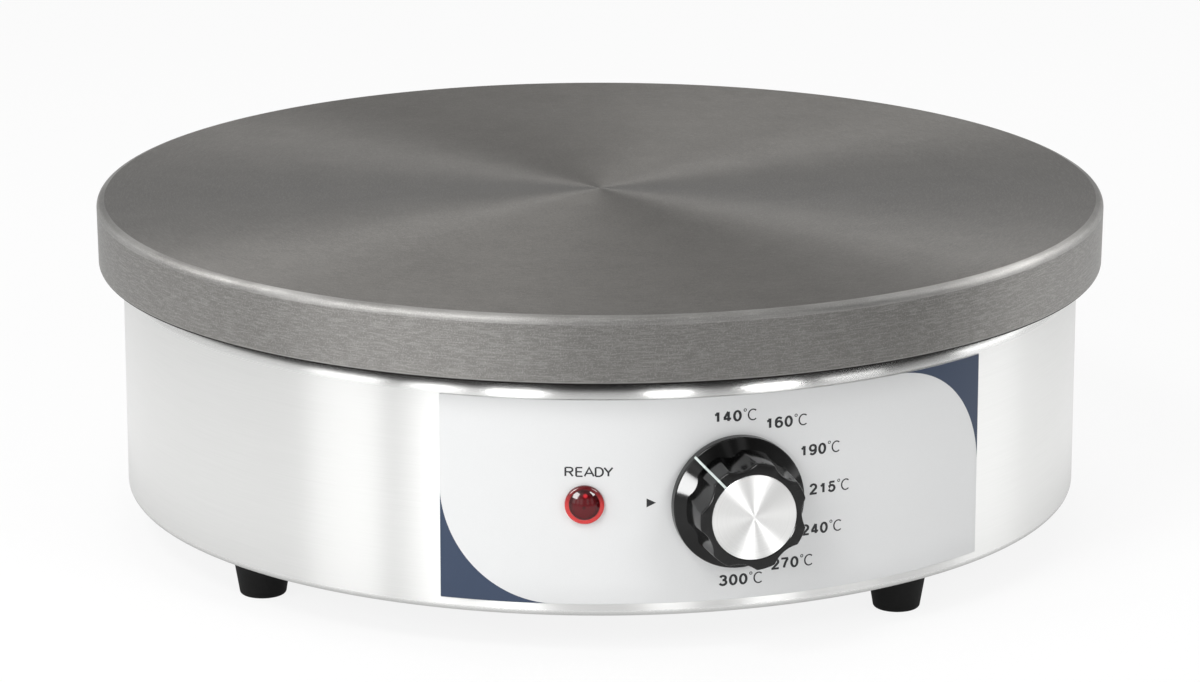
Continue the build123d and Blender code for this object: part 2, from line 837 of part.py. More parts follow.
with BuildPart() as thermostat_spades:
    with BuildSketch(radial_plane(0, spade_height, spade_end)):
        with GridLocations(spade_spacing, 1, 3, 1):
            Rectangle(spade_width, spade_thickness)
    extrude(amount=spade_length)
keep(thermostat_spades, "thermostat_spades")

with BuildPart() as thermostat_shaft:
    with BuildSketch(radial_plane(0, knob_height, shaft_back)):
        Circle(shaft_radius)
    extrude(amount=shaft_front - shaft_back)
    with BuildSketch(radial_plane(0, knob_height, knob_back)):
        with Locations((0, shaft_flat)):
            Rectangle(2 * shaft_radius, shaft_radius, align=(Align.CENTER, Align.MIN))
    extrude(amount=shaft_in_knob, mode=Mode.SUBTRACT)
keep(thermostat_shaft, "thermostat_shaft")

# ------------------------------------------------------------------------ knob

knob_axis = Axis((0, 0, knob_height), (0, -1, 0))
knob_facing = radial_plane(0, knob_height, 0)
pointer_across = (cos(radians(pointer_angle)), 0, sin(radians(pointer_angle)))
pointer_facing = Plane(origin=(0, 0, knob_height), x_dir=pointer_across, z_dir=(0, -1, 0))
pointer_corner = knob_front_edge / 2

with BuildPart() as knob_pointer:
    with BuildSketch(turning_plane(pointer_facing)):
        with BuildLine():
            Polyline(
                (cap_radius + pointer_width / 2, knob_front + pointer_proud),
                (knob_grip_front_radius - pointer_corner, knob_front + pointer_proud),
                (
                    knob_grip_front_radius + pointer_corner * grip_taper + pointer_proud,
                    knob_front - pointer_corner,
                ),
                (knob_grip_base_radius + pointer_proud, knob_skirt_front + pointer_proud),
                (
                    knob_skirt_radius - knob_skirt_edge,
                    knob_rim_front + knob_skirt_edge * skirt_slope + pointer_proud,
                ),
            )
            offset(amount=pointer_depth, side=Side.RIGHT, kind=Kind.INTERSECTION)
        make_face()
    extrude(amount=pointer_width / 2, both=True)
keep(knob_pointer, "knob_pointer")

with BuildPart() as knob:
    with BuildSketch(turning_plane(knob_facing)):
        with BuildLine():
            Polyline(
                (0, knob_back),
                (knob_skirt_radius, knob_back),
                (knob_skirt_radius, knob_rim_front),
                (knob_grip_base_radius, knob_skirt_front),
                (knob_grip_front_radius, knob_front),
                (0, knob_front),
                close=True,
            )
        make_face()
    revolve(axis=knob_axis)
    with BuildSketch(radial_plane(0, knob_height, knob_skirt_front)):
        with PolarLocations(
            flute_floor_radius + flute_base_radius,
            flute_count,
            pointer_angle + 180 / flute_count - flute_lag_angle,
        ):
            Circle(flute_base_radius)
    extrude(amount=knob_length, taper=-flute_taper, mode=Mode.SUBTRACT)
    fillet(knob.faces().sort_by(Axis.Y)[0].edges(), knob_front_edge)
    skirt_rim = knob.edges().filter_by(GeomType.CIRCLE).filter_by(
        lambda edge: abs(edge.radius - knob_skirt_radius) < 0.01
    )
    fillet(skirt_rim.sort_by(Axis.Y)[0], knob_skirt_edge)
    with BuildSketch(radial_plane(0, knob_height, cap_back)):
        Circle(cap_radius + thread_clearance)
    extrude(amount=knob_length, mode=Mode.SUBTRACT)
    with BuildSketch(radial_plane(0, knob_height, knob_back)):
        Circle(knob_skirt_radius - knob_rim_wall)
        Circle(knob_hub_radius, mode=Mode.SUBTRACT)
    extrude(amount=knob_rim_cavity, mode=Mode.SUBTRACT)
    with BuildSketch(radial_plane(0, knob_height, knob_back)):
        Circle(knob_core_radius)
        Circle(knob_hub_radius, mode=Mode.SUBTRACT)
    extrude(amount=knob_length - knob_front_wall, mode=Mode.SUBTRACT)
    with BuildSketch(radial_plane(0, knob_height, knob_back)):
        Circle(shaft_radius + thread_clearance)
        with Locations((0, shaft_flat + thread_clearance)):
            Rectangle(
                4 * shaft_radius,
                shaft_radius,
                align=(Align.CENTER, Align.MIN),
                mode=Mode.SUBTRACT,
            )
    extrude(amount=shaft_in_knob + seat_clearance, mode=Mode.SUBTRACT)
    add(knob_pointer.part, mode=Mode.SUBTRACT)
keep(knob, "knob")

with BuildPart() as knob_cap:
    with BuildSketch(radial_plane(0, knob_height, cap_back)):
        Circle(cap_radius)
    extrude(amount=cap_thickness)
    chamfer(knob_cap.faces().sort_by(Axis.Y)[0].edges(), cap_recess)
keep(knob_cap, "knob_cap")

with BuildPart() as knob_spring_ring:
    with BuildSketch(radial_plane(0, knob_height, spring_ring_back)):
        Circle(knob_hub_radius + seat_clearance + spring_ring_wall)
        Circle(knob_hub_radius + seat_clearance, mode=Mode.SUBTRACT)
        with Locations((0, -knob_hub_radius)):
            Rectangle(2 * spring_ring_wall, knob_hub_radius, mode=Mode.SUBTRACT)
    extrude(amount=spring_ring_width)
keep(knob_spring_ring, "knob_spring_ring")

# -------------------------------------------------------------- indicator lamp

lamp_axis = Axis((0, 0, lamp_height), tuple(radial_plane(lamp_angle, 0, 0).z_dir))
lamp_facing = radial_plane(lamp_angle, lamp_height, 0)

with BuildPart() as lamp_lens:
    with BuildSketch(turning_plane(lamp_facing)):
        with BuildLine():
            Polyline(
                (0, lens_step),
                (lens_dome_radius - lens_wall, lens_step),
                (lens_dome_radius - lens_wall, panel_outer_radius),
                (lens_flange_radius, panel_outer_radius),
                (lens_flange_radius, lens_step - lens_edge),
            )
            TangentArc(
                (lens_flange_radius, lens_step - lens_edge),
                (lens_flange_radius - lens_edge, lens_step),
                tangent=(0, 1),
            )
            Line((lens_flange_radius - lens_edge, lens_step), (lens_dome_radius, lens_step))
            TangentArc(
                (0, lens_step + lens_dome_height),
                (lens_dome_radius, lens_step),
                tangent=(1, 0),
            )
            Line((0, lens_step + lens_dome_height), (0, lens_step))
        make_face()
    revolve(axis=lamp_axis)
keep(lamp_lens, "lamp_lens")

with BuildPart() as lamp_body:
    with BuildSketch(radial_plane(lamp_angle, lamp_height, lamp_inner_end)):
        Circle(lamp_barrel_radius)
    extrude(amount=lamp_length - seat_clearance)
    with BuildSketch(radial_plane(lamp_angle, lamp_height, lamp_inner_end + lamp_end_wall)):
        Circle(lamp_barrel_radius - lamp_barrel_wall)
    extrude(amount=lamp_length, mode=Mode.SUBTRACT)
keep(lamp_body, "lamp_body")

with BuildPart() as lamp_neon:
    with BuildSketch(radial_plane(lamp_angle, lamp_height, lamp_inner_end + lamp_end_wall)):
        Circle(neon_radius)
    extrude(amount=neon_length)
    neon_tip = lamp_neon.edges().filter_by(GeomType.CIRCLE).sort_by(lamp_axis)[-1]
    fillet(neon_tip, neon_radius * 0.9)
keep(lamp_neon, "lamp_neon")

with BuildPart() as lamp_nut:
    with BuildSketch(radial_plane(lamp_angle, lamp_height, lamp_nut_front)):
        RegularPolygon(lamp_nut_radius, 6)
        Circle(lamp_barrel_radius + thread_clearance, mode=Mode.SUBTRACT)
    extrude(amount=-lamp_nut_thickness)
keep(lamp_nut, "lamp_nut")

# ----------------------------------------------------------------- cable gland

with BuildPart() as gland_body:
    with BuildSketch(radial_plane(gland_angle, gland_height, gland_face)):
        RegularPolygon(gland_hex_radius, 6)
    extrude(amount=gland_hex_thickness)
    with BuildSketch(radial_plane(gland_angle, gland_height, gland_face)):
        Circle(gland_thread_radius)
    extrude(amount=gland_hex_thickness + gland_collar_length)
    with BuildSketch(radial_plane(gland_angle, gland_height, gland_face)):
        Circle(gland_thread_radius)
    extrude(amount=-gland_thread_length)
    with BuildSketch(radial_plane(gland_angle, gland_height, gland_face - gland_thread_length)):
        Circle(gland_bore_radius)
    extrude(amount=gland_collar_end - gland_face + gland_thread_length, mode=Mode.SUBTRACT)
    with BuildSketch(radial_plane(gland_angle, gland_height, gland_seat)):
        Circle(gland_seal_radius + thread_clearance)
    extrude(amount=gland_seat_depth, mode=Mode.SUBTRACT)
keep(gland_body, "gland_body")

with BuildPart() as gland_locknut:
    with BuildSketch(radial_plane(gland_angle, gland_height, gland_nut_outer_face)):
        RegularPolygon(gland_nut_radius, 6)
        Circle(gland_thread_radius + thread_clearance, mode=Mode.SUBTRACT)
    extrude(amount=-gland_nut_thickness)
keep(gland_locknut, "gland_locknut")

with BuildPart() as gland_seal:
    with BuildSketch(radial_plane(gland_angle, gland_height, gland_seat)):
        Circle(gland_seal_radius)
        Circle(cable_bore_radius, mode=Mode.SUBTRACT)
    extrude(amount=gland_seal_length)
keep(gland_seal, "gland_seal")

with BuildPart() as gland_cap:
    with BuildSketch(radial_plane(gland_angle, gland_height, gland_cap_start)):
        Circle(gland_cap_radius)
    extrude(amount=gland_end - gland_cap_start)
    fillet(gland_cap.faces().sort_by(Axis.Y)[-1].edges(), gland_cap_edge)
    with BuildSketch(radial_plane(gland_angle, gland_height, gland_cap_start)):
        Circle(gland_thread_radius + thread_clearance)
    extrude(amount=gland_collar_end - gland_cap_start, mode=Mode.SUBTRACT)
    with BuildSketch(radial_plane(gland_angle, gland_height, gland_cap_start)):
        Circle(gland_seal_radius + thread_clearance)
    extrude(amount=gland_seal_end - gland_cap_start, mode=Mode.SUBTRACT)
    with BuildSketch(radial_plane(gland_angle, gland_height, gland_cap_start)):
        Circle(gland_mouth_radius)
    extrude(amount=gland_end - gland_cap_start, mode=Mode.SUBTRACT)
    with BuildSketch(radial_plane(gland_angle, gland_height, gland_cap_start)):
        with PolarLocations(gland_cap_radius, gland_cap_grooves):
            Circle(gland_groove_radius)
    extrude(amount=gland_seal_end - gland_cap_start, mode=Mode.SUBTRACT)
keep(gland_cap, "gland_cap")

# -------------------------------------------------- terminal block and earthing

with BuildPart() as terminal_block:
    with BuildSketch(Plane.XY.offset(base_top)):
        with Locations((0, block_centre_y)):
            Rectangle(block_width, block_depth)
            with GridLocations(block_screw_spacing, 1, 2, 1):
                Circle(block_screw_radius + thread_clearance, mode=Mode.SUBTRACT)
    extrude(amount=block_height)
    for face_y, inward in ((block_front, 1), (block_front + block_depth, -1)):
        with BuildSketch(Plane.XZ.offset(-face_y)):
            with Locations((0, pole_height)):
                with GridLocations(pole_pitch, 1, pole_count, 1):
                    Circle(pole_hole_radius)
        extrude(amount=-inward * pole_hole_depth, mode=Mode.SUBTRACT)
    with BuildSketch(Plane.XY.offset(base_top + block_height)):
        with Locations((0, block_centre_y)):
            with GridLocations(pole_pitch, pole_screw_row, pole_count, 2):
                Circle(pole_screw_radius + thread_clearance)
    extrude(amount=-pole_screw_depth, mode=Mode.SUBTRACT)
keep(terminal_block, "terminal_block")

with BuildPart() as terminal_screws:
    with BuildSketch(Plane.XY.offset(base_top + block_height - pole_screw_depth)):
        with Locations((0, block_centre_y)):
            with GridLocations(pole_pitch, pole_screw_row, pole_count, 2):
                Circle(pole_screw_radius)
    extrude(amount=pole_screw_depth / 2)
keep(terminal_screws, "terminal_screws")

with BuildPart() as block_screws:
    with BuildSketch(Plane.XY.offset(base_bottom - block_head_height)):
        with Locations((0, block_centre_y)):
            with GridLocations(block_screw_spacing, 1, 2, 1):
                Circle(block_head_radius)
    extrude(amount=block_head_height)
    with BuildSketch(Plane.XY.offset(base_bottom)):
        with Locations((0, block_centre_y)):
            with GridLocations(block_screw_spacing, 1, 2, 1):
                Circle(block_screw_radius)
    extrude(amount=base_thickness + block_screw_depth)
keep(block_screws, "block_screws")

with BuildPart() as earth_stud:
    with BuildSketch(Plane.XY.offset(base_bottom - pan_head_height)):
        with Locations((earth_x, earth_y)):
            Circle(pan_head_radius + earth_stud_radius / 2)
    extrude(amount=pan_head_height)
    with BuildSketch(Plane.XY.offset(base_bottom)):
        with Locations((earth_x, earth_y)):
            Circle(earth_stud_radius)
    extrude(amount=base_thickness + earth_stud_length)
keep(earth_stud, "earth_stud")

with BuildPart() as earth_lug:
    with BuildSketch(Plane.XY.offset(base_top)):
        with Locations((earth_x, earth_y)):
            Circle(lug_radius)
            with Locations((0, -lug_radius)):
                Rectangle(2 * lug_barrel_radius, lug_radius)
            Circle(earth_stud_radius + hole_clearance, mode=Mode.SUBTRACT)
    extrude(amount=lug_thickness)
    with BuildSketch(Plane.XZ.offset(-(earth_y - lug_radius - lug_thickness))):
        with Locations((earth_x, base_top + lug_barrel_radius)):
            Circle(lug_barrel_radius)
    extrude(amount=lug_barrel_length)
keep(earth_lug, "earth_lug")

with BuildPart() as earth_nut:
    with BuildSketch(Plane.XY.offset(earth_nut_bottom)):
        with Locations((earth_x, earth_y)):
            RegularPolygon(small_hex_radius, 6)
            Circle(earth_stud_radius + thread_clearance, mode=Mode.SUBTRACT)
    extrude(amount=small_hex_height)
keep(earth_nut, "earth_nut")

# ------------------------------------------------------------ overheat limiter

with BuildPart() as limiter_body:
    with BuildSketch(Plane.XY.offset(base_top)):
        with Locations((limiter_x, limiter_y)):
            Rectangle(limiter_width, limiter_depth)
    extrude(amount=limiter_height)
    fillet(limiter_body.edges().filter_by(Axis.Z), limiter_depth / 10)
    with BuildSketch(Plane.XY.offset(base_bottom)):
        with Locations((limiter_x, limiter_y)):
            Circle(limiter_neck_radius)
    extrude(amount=base_thickness)
    with BuildSketch(Plane.XY.offset(base_bottom)):
        with Locations((limiter_x, limiter_y)):
            Circle(reset_pin_radius + running_clearance)
    extrude(amount=reset_pin_top + reset_travel_room - base_bottom, mode=Mode.SUBTRACT)
    with BuildSketch(Plane.XY.offset(base_top)):
        with Locations((limiter_x, limiter_y)):
            with GridLocations(limiter_screw_spacing, 1, 2, 1):
                Circle(base_screw_radius + thread_clearance)
    extrude(amount=limiter_screw_depth + thread_end_gap, mode=Mode.SUBTRACT)
keep(limiter_body, "limiter_body")

with BuildPart() as limiter_screws:
    with BuildSketch(Plane.XY.offset(base_bottom - pan_head_height)):
        with Locations((limiter_x, limiter_y)):
            with GridLocations(limiter_screw_spacing, 1, 2, 1):
                Circle(pan_head_radius)
    extrude(amount=pan_head_height)
    with BuildSketch(Plane.XY.offset(base_bottom)):
        with Locations((limiter_x, limiter_y)):
            with GridLocations(limiter_screw_spacing, 1, 2, 1):
                Circle(base_screw_radius)
    extrude(amount=base_thickness + limiter_screw_depth)
keep(limiter_screws, "limiter_screws")

with BuildPart() as limiter_spades:
    with BuildSketch(Plane.XY.offset(limiter_top)):
        with Locations((limiter_x, limiter_y)):
            with GridLocations(limiter_spade_spacing, 1, 2, 1):
                Rectangle(spade_thickness, spade_width)
    extrude(amount=spade_length)
keep(limiter_spades, "limiter_spades")

with BuildPart() as reset_button:
    with BuildSketch(Plane.XY.offset(reset_head_bottom)):
        with Locations((limiter_x, limiter_y)):
            Circle(reset_head_radius)
    extrude(amount=reset_head_height)
    fillet(reset_button.faces().sort_by(Axis.Z)[0].edges(), reset_head_height / 3)
    with BuildSketch(Plane.XY.offset(reset_head_bottom + reset_head_height)):
        with Locations((limiter_x, limiter_y)):
            Circle(reset_pin_radius)
    extrude(amount=reset_pin_length)
keep(reset_button, "reset_button")

# ------------------------------------------------------------- internal wiring

lamp_outward = radial_plane(lamp_angle, 0, 0).z_dir
upward = Vector(0, 0, lead_straight)
rearward = Vector(0, lead_straight, 0)
rightward = Vector(lead_straight, 0, 0)


def lamp_terminal(side):
    """Terminal at the lamp's inner end; side is -1 or 1."""
    return lamp_outward * lamp_inner_end + Vector(0, 0, lamp_height + side * lamp_lead_spacing / 2)


def spade_tip(place):
    """Rear tip of a thermostat spade; place is -1, 0 or 1."""
    return Vector(place * spade_spacing, -spade_end, spade_height)


def pole(place):
    """Mouth of a terminal block pole on the side facing the panel."""
    return Vector((place - (pole_count - 1) / 2) * pole_pitch, block_front, pole_height)


def limiter_tip(side):
    """Top of a limiter spade; side is -1 or 1."""
    return Vector(limiter_x + side * limiter_spade_spacing / 2, limiter_y, limiter_top + spade_length)


def element_pin_tip(cold_end):
    """Lower tip of the pin under one of the element's cold ends."""
    return Vector(*cold_end, cold_end_bottom - bead_length - pin_length)


def lead_route(start, start_way, end, end_way, rise):
    """Straight out of both terminals, and over the point halfway between, raised by rise."""
    first = start + start_way
    last = end + end_way
    return [start, first, (first + last) / 2 + Vector(0, 0, rise), last, end]


lamp_way = lamp_outward * -lead_straight
live_routes = [
    lead_route(pole(0), -rearward, limiter_tip(1), upward, lead_rise),
    lead_route(limiter_tip(-1), upward, spade_tip(-1), rearward, lead_rise),
    lead_route(spade_tip(1), rearward, element_pin_tip(outer_cold), -upward, lead_rise),
    lead_route(lamp_terminal(1), lamp_way, spade_tip(0), rearward, lead_rise),
]
neutral_routes = [
    lead_route(pole(2), -rearward, element_pin_tip(inner_cold), -upward, -lead_rise),
    lead_route(lamp_terminal(-1), lamp_way, pole(1), -rearward, -lead_rise),
]
lug_back = earth_y - lug_radius - lug_thickness
lug_entry = Vector(earth_x, lug_back - lug_barrel_length, base_top + lug_barrel_radius)
earth_routes = [lead_route(pole(3), -rearward, lug_entry, -rearward, lead_rise)]

for routes, name in (
    (live_routes, "live_leads"),
    (neutral_routes, "neutral_leads"),
    (earth_routes, "earth_lead"),
):
    leads = [tube(route, wire_radius, wire_bend) for route in routes]
    with BuildPart() as harness:
        add(leads)
    keep(harness, name)

thermostat_port = Vector(capillary_port_x, -thermostat_back, knob_height + capillary_port_rise)
limiter_port = Vector(
    limiter_x + limiter_width / 2,
    limiter_y + limiter_port_y,
    base_top + limiter_port_rise,
)
capillary_way = Vector(0, 0, shield_bottom - capillary_drop - bulb_height)

for side, port, port_way, name in (
    (-1, thermostat_port, rearward, "thermostat_capillary"),
    (1, limiter_port, rightward, "limiter_capillary"),
):
    bulb_end = Vector(bulb_right_end, side * bulb_spacing / 2, bulb_height)
    bend_start = bulb_end + Vector(capillary_lead, 0, 0)
    route = [bulb_end, *lead_route(bend_start, capillary_way, port, port_way, lead_rise)]
    capillary = tube(route, capillary_radius, capillary_bend)
    with BuildPart() as line:
        add(capillary)
    keep(line, name)
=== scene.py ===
import json
from math import cos, pi, radians, sin

import bmesh
import bpy
import numpy as np
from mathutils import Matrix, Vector


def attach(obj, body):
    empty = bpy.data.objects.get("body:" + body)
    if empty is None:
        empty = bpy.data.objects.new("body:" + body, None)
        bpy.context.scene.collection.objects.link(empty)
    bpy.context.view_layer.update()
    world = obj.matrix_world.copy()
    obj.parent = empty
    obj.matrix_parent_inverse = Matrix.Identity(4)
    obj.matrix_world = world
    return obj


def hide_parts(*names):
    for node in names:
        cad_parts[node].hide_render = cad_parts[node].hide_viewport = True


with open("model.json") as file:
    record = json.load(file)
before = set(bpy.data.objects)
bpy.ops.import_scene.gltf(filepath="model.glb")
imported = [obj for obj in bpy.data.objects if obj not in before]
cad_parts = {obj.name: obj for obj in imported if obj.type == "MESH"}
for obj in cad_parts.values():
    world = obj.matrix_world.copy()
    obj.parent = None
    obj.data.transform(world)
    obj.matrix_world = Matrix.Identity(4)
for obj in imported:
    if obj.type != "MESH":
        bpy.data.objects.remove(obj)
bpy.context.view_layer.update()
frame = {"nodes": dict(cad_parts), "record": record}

# Electric crepe maker, dressed over its fixed frame. Lengths are in millimetres
# until a piece's points are put in its mesh. The axis of the plate and drum is Z,
# and the middle of the control panel faces -Y.
MM = 0.001
MERGE, SLIVER = 2e-7, 1e-8

PLATE_TOP, PLATE_UNDERSIDE, PLATE_RADIUS = 132.5, 120.5, 200.0
SKIRT_BOTTOM, SKIRT_INNER = 106.7, 188.0
BOSS_RADIUS, BOSS_BOTTOM, BOSS_CIRCLE = 8.9, 116.5, 168
DRUM_RADIUS, DRUM_TOP, DRUM_BOTTOM, DRUM_SHEET = 190.0, 105.2, 15.5, 0.8
FLANGE_TOP, FLANGE_BOTTOM = 178, 177
PANEL_INNER, PANEL_OUTER, PANEL_HALF = 190.03, 190.53, 110.5
PANEL_LOW, PANEL_HIGH = 20.7, 98.8
PRINT_LIFT, PRINT_STEP = 0.012, 0.002
LAMP_ARC, LAMP_Z = -56.2, 59.2
FOOT_TOP, FOOT_CIRCLE = 14.5, 171.5

KNOB_Z, KNOB_BACK = 59.0, 191.18
KNOB_CENTRE = (0, -KNOB_BACK, KNOB_Z)
KNOB_AXES = ((1, 0, 0), (0, 0, 1), (0, -1, 0))
RIM_RADIUS, RIM_FRONT = 25.0, 3.6
GRIP_RADIUS, SKIRT_FRONT, KNOB_LENGTH = 21.0, 6.4, 22.7
CAP_RADIUS, CAP_BACK, CAP_FRONT = 16.0, 21.7, 22.6
POINTER_ANGLE = radians(132.3)
SECTORS = 7
FLUTE_LAG = radians(3.3)


# Toolkit

def rounded(corners, radii, steps=6, hold=0.12):
    """A profile through the corners, where each is turned by an arc tangent to both
    its sides: the arc's centre lies on the corner's bisector, at the radius over the
    sine of half the angle. Returns the points, and 1 on an arc and 0 elsewhere."""
    corners = np.asarray(corners, float)
    points, worn = [], []
    last = len(corners) - 1
    for place, (corner, radius) in enumerate(zip(corners, radii)):
        if radius == 0 or place in (0, last):
            points.append(corner[None])
            worn.append(np.zeros(1))
            continue
        before = corners[place - 1] - corner
        after = corners[place + 1] - corner
        before /= np.linalg.norm(before)
        after /= np.linalg.norm(after)
        half = 0.5 * np.arccos(np.clip(before @ after, -1, 1))
        reach = radius / np.tan(half)
        bisector = (before + after) / np.linalg.norm(before + after)
        centre = corner + bisector * radius / np.sin(half)
        start = corner + before * reach - centre
        end = corner + after * reach - centre
        first = np.arctan2(start[1], start[0])
        turn = np.arctan2(end[1], end[0]) - first
        turn = (turn + pi) % (2 * pi) - pi
        angle = first + turn * np.linspace(0, 1, steps + 1)
        arc = centre + radius * np.stack([np.cos(angle), np.sin(angle)], axis=1)
        points.append((arc[0] + before * hold)[None])
        points.append(arc)
        points.append((arc[-1] + after * hold)[None])
        worn.append(np.zeros(1))
        worn.append(np.ones(steps + 1))
        worn.append(np.zeros(1))
    return np.concatenate(points), np.concatenate(worn)


def run_length(points):
    """Distance along a row of points, from the first of them."""
    steps = np.linalg.norm(np.diff(points, axis=0), axis=1)
    return np.concatenate([[0.0], np.cumsum(steps)])


UP = ((1, 0, 0), (0, 1, 0), (0, 0, 1))


def facing_out(arc, height):
    """Axes on the curved front, at an arc from the panel's middle and a height: to the
    right along the panel, up, and outwards from the drum's axis."""
    angle = arc / PANEL_OUTER
    across = (cos(angle), sin(angle), 0)
    outward = (sin(angle), -cos(angle), 0)
    return (0, 0, height), (across, (0, 0, 1), outward)


def mask_over(worn, shape):
    """A profile's edge mask, carried over its whole grid, or 0 where there is none."""
    return np.broadcast_to(0.0 if worn is None else worn[:, None], shape)


def turned(profile, columns=192, centre=(0, 0, 0), axes=UP, start=pi / 2, worn=None):
    """A profile of radius and height turned about an axis: the point at an angle is
    centre + radius (cos first axis + sin second axis) + height third axis. The UV is
    the length along the profile, and the angle times the greatest radius."""
    profile = np.asarray(profile, float)
    angle = start + np.linspace(0, 2 * pi, columns + 1)
    first, second, third = (np.array(axis, float) for axis in axes)
    round_axis = np.cos(angle)[:, None] * first + np.sin(angle)[:, None] * second
    points = (
        np.array(centre, float)
        + profile[:, 0][:, None, None] * round_axis[None]
        + profile[:, 1][:, None, None] * third
    )
    along = run_length(profile)[:, None] * np.ones(columns + 1)
    across = np.ones(len(profile))[:, None] * (angle - start) * profile[:, 0].max()
    return points, np.stack([along, across], axis=2), mask_over(worn, along.shape)


def make_piece(name, patches, body, slot, nodes, material, sharp=38, sheet=False):
    """One mesh from patches, each a grid of points with its UV and its edge mask. The
    points that patches share are merged, which closes seams and poles. The piece gets
    its finish and rides on its body."""
    vertices, faces, uvs, edges, total = [], [], [], [], 0
    for points, uv, edge in patches:
        rows, columns = points.shape[:2]
        number = total + np.arange(rows * columns).reshape(rows, columns)
        corner = (number[:-1, :-1], number[1:, :-1], number[1:, 1:], number[:-1, 1:])
        faces.append(np.stack([part.ravel() for part in corner], axis=1))
        vertices.append(points.reshape(-1, 3))
        uvs.append(uv.reshape(-1, 2))
        edges.append(edge.ravel())
        total += rows * columns
    faces = np.concatenate(faces)
    uvs = np.concatenate(uvs)
    mesh = bpy.data.meshes.new(name)
    mesh.from_pydata((np.concatenate(vertices) * MM).tolist(), [], faces.tolist())
    layer = mesh.uv_layers.new(name="surface")
    layer.data.foreach_set("uv", (uvs[faces.ravel()] * MM).ravel())
    mask = mesh.attributes.new("edge", "FLOAT", "POINT")
    mask.data.foreach_set("value", np.concatenate(edges))
    work = bmesh.new()
    work.from_mesh(mesh)
    bmesh.ops.remove_doubles(work, verts=work.verts, dist=MERGE)
    bmesh.ops.dissolve_degenerate(work, edges=work.edges, dist=SLIVER)
    if not sheet:
        bmesh.ops.recalc_face_normals(work, faces=work.faces)
    work.to_mesh(mesh)
    work.free()
    mesh.shade_smooth()
    mesh.set_sharp_from_angle(angle=radians(sharp))
    mesh.materials.append(material)
    piece = bpy.data.objects.new(name, mesh)
    bpy.context.scene.collection.objects.link(piece)
    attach(piece, body)
    if nodes:
        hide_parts(*nodes)
    return piece


def dress(node, patches, slot, body="housing", **options):
    """A piece that stands for one CAD node, in the finish of its material slot."""
    return make_piece(f"{node}_dressed", patches, body, slot, [node], FINISH[slot], **options)


def print_on_panel(name, patches, ink):
    """Ink on the panel, which stands for no CAD node."""
    make_piece(name, patches, "housing", "panel_film", (), ink, sheet=True)


# Node helpers

def give(tree, node, sources):
    """Links or fills a node's inputs, by name or number."""
    for name, value in sources.items():
        socket = node.inputs[name]
        if isinstance(value, bpy.types.NodeSocket):
            tree.links.new(value, socket)
        else:
            socket.default_value = value


def wire(tree, kind, inputs=None, **settings):
    """Adds a node, applies its settings, and fills or links its inputs."""
    made = tree.nodes.new("ShaderNode" + kind)
    for name, value in settings.items():
        setattr(made, name, value)
    give(tree, made, inputs or {})
    return made


def calc(tree, operation, first, second=0.0, third=0.0):
    """A math node's result."""
    node = wire(tree, "Math", {0: first, 1: second, 2: third}, operation=operation)
    return node.outputs[0]


def times(tree, first, second):
    """The product of two values."""
    return calc(tree, "MULTIPLY", first, second)


def summed(tree, base, *shares):
    """A base value with shares added, each a value times an amount."""
    for value, amount in shares:
        base = calc(tree, "MULTIPLY_ADD", value, amount, base)
    return base


def mixed(tree, factor, first, second):
    """A colour between two, each a socket or three numbers."""
    ends = [tone + (1,) if isinstance(tone, tuple) else tone for tone in (first, second)]
    node = wire(tree, "Mix", {0: factor, 6: ends[0], 7: ends[1]}, data_type="RGBA")
    return node.outputs[2]


def coated(tree, colour, *coats):
    """A colour under coats, each a mask and the coat's colour."""
    for mask, tone in coats:
        colour = mixed(tree, mask, colour, tone)
    return colour


def toned(colour, factor, lift=0.0):
    """Three numbers of a colour made lighter or darker, to 1 at most."""
    return tuple(min(1.0, part * factor + lift) for part in colour)


def spread(tree, value, low, high, to_low=0.0, to_high=1.0):
    """A value carried smoothly from one range to another, and held at its ends."""
    ends = {0: value, 1: low, 2: high, 3: to_low, 4: to_high}
    return wire(tree, "MapRange", ends, interpolation_type="SMOOTHSTEP").outputs[0]


def object_place(tree):
    """The point's Object coordinates."""
    return wire(tree, "TexCoord").outputs["Object"]


def surface_uv(tree):
    """The piece's UV: metres along its profile and round it."""
    return wire(tree, "UVMap", uv_map="surface").outputs[0]


def edge_mask(tree):
    """The piece's edge mask, 1 on its rounded edges."""
    return wire(tree, "Attribute", attribute_name="edge").outputs["Fac"]


def parts_of(tree, vector):
    """The three numbers of a vector."""
    return wire(tree, "SeparateXYZ", {0: vector}).outputs


def vector_of(tree, *parts):
    """A vector of three numbers."""
    return wire(tree, "CombineXYZ", dict(enumerate(parts))).outputs[0]


def facing_up(tree):
    """The vertical part of the surface's normal."""
    return parts_of(tree, wire(tree, "NewGeometry").outputs["Normal"])[2]


def noise(tree, place, scale, detail, distortion=0.0):
    """Noise at a place."""
    inputs = {"Vector": place, "Scale": scale, "Detail": detail, "Distortion": distortion}
    return wire(tree, "TexNoise", inputs).outputs["Fac"]


def from_ahead(tree, x, y):
    """The azimuth of a direction, from -Y towards +X."""
    return calc(tree, "ARCTAN2", x, times(tree, y, -1.0))


def seen_by(tree):
    """1 for a ray from the camera, and 1 for one that is reflected or passes glass."""
    path = wire(tree, "LightPath").outputs
    shiny = calc(tree, "MAXIMUM", path["Is Glossy Ray"], path["Is Transmission Ray"])
    return path["Is Camera Ray"], shiny


# Shader groups

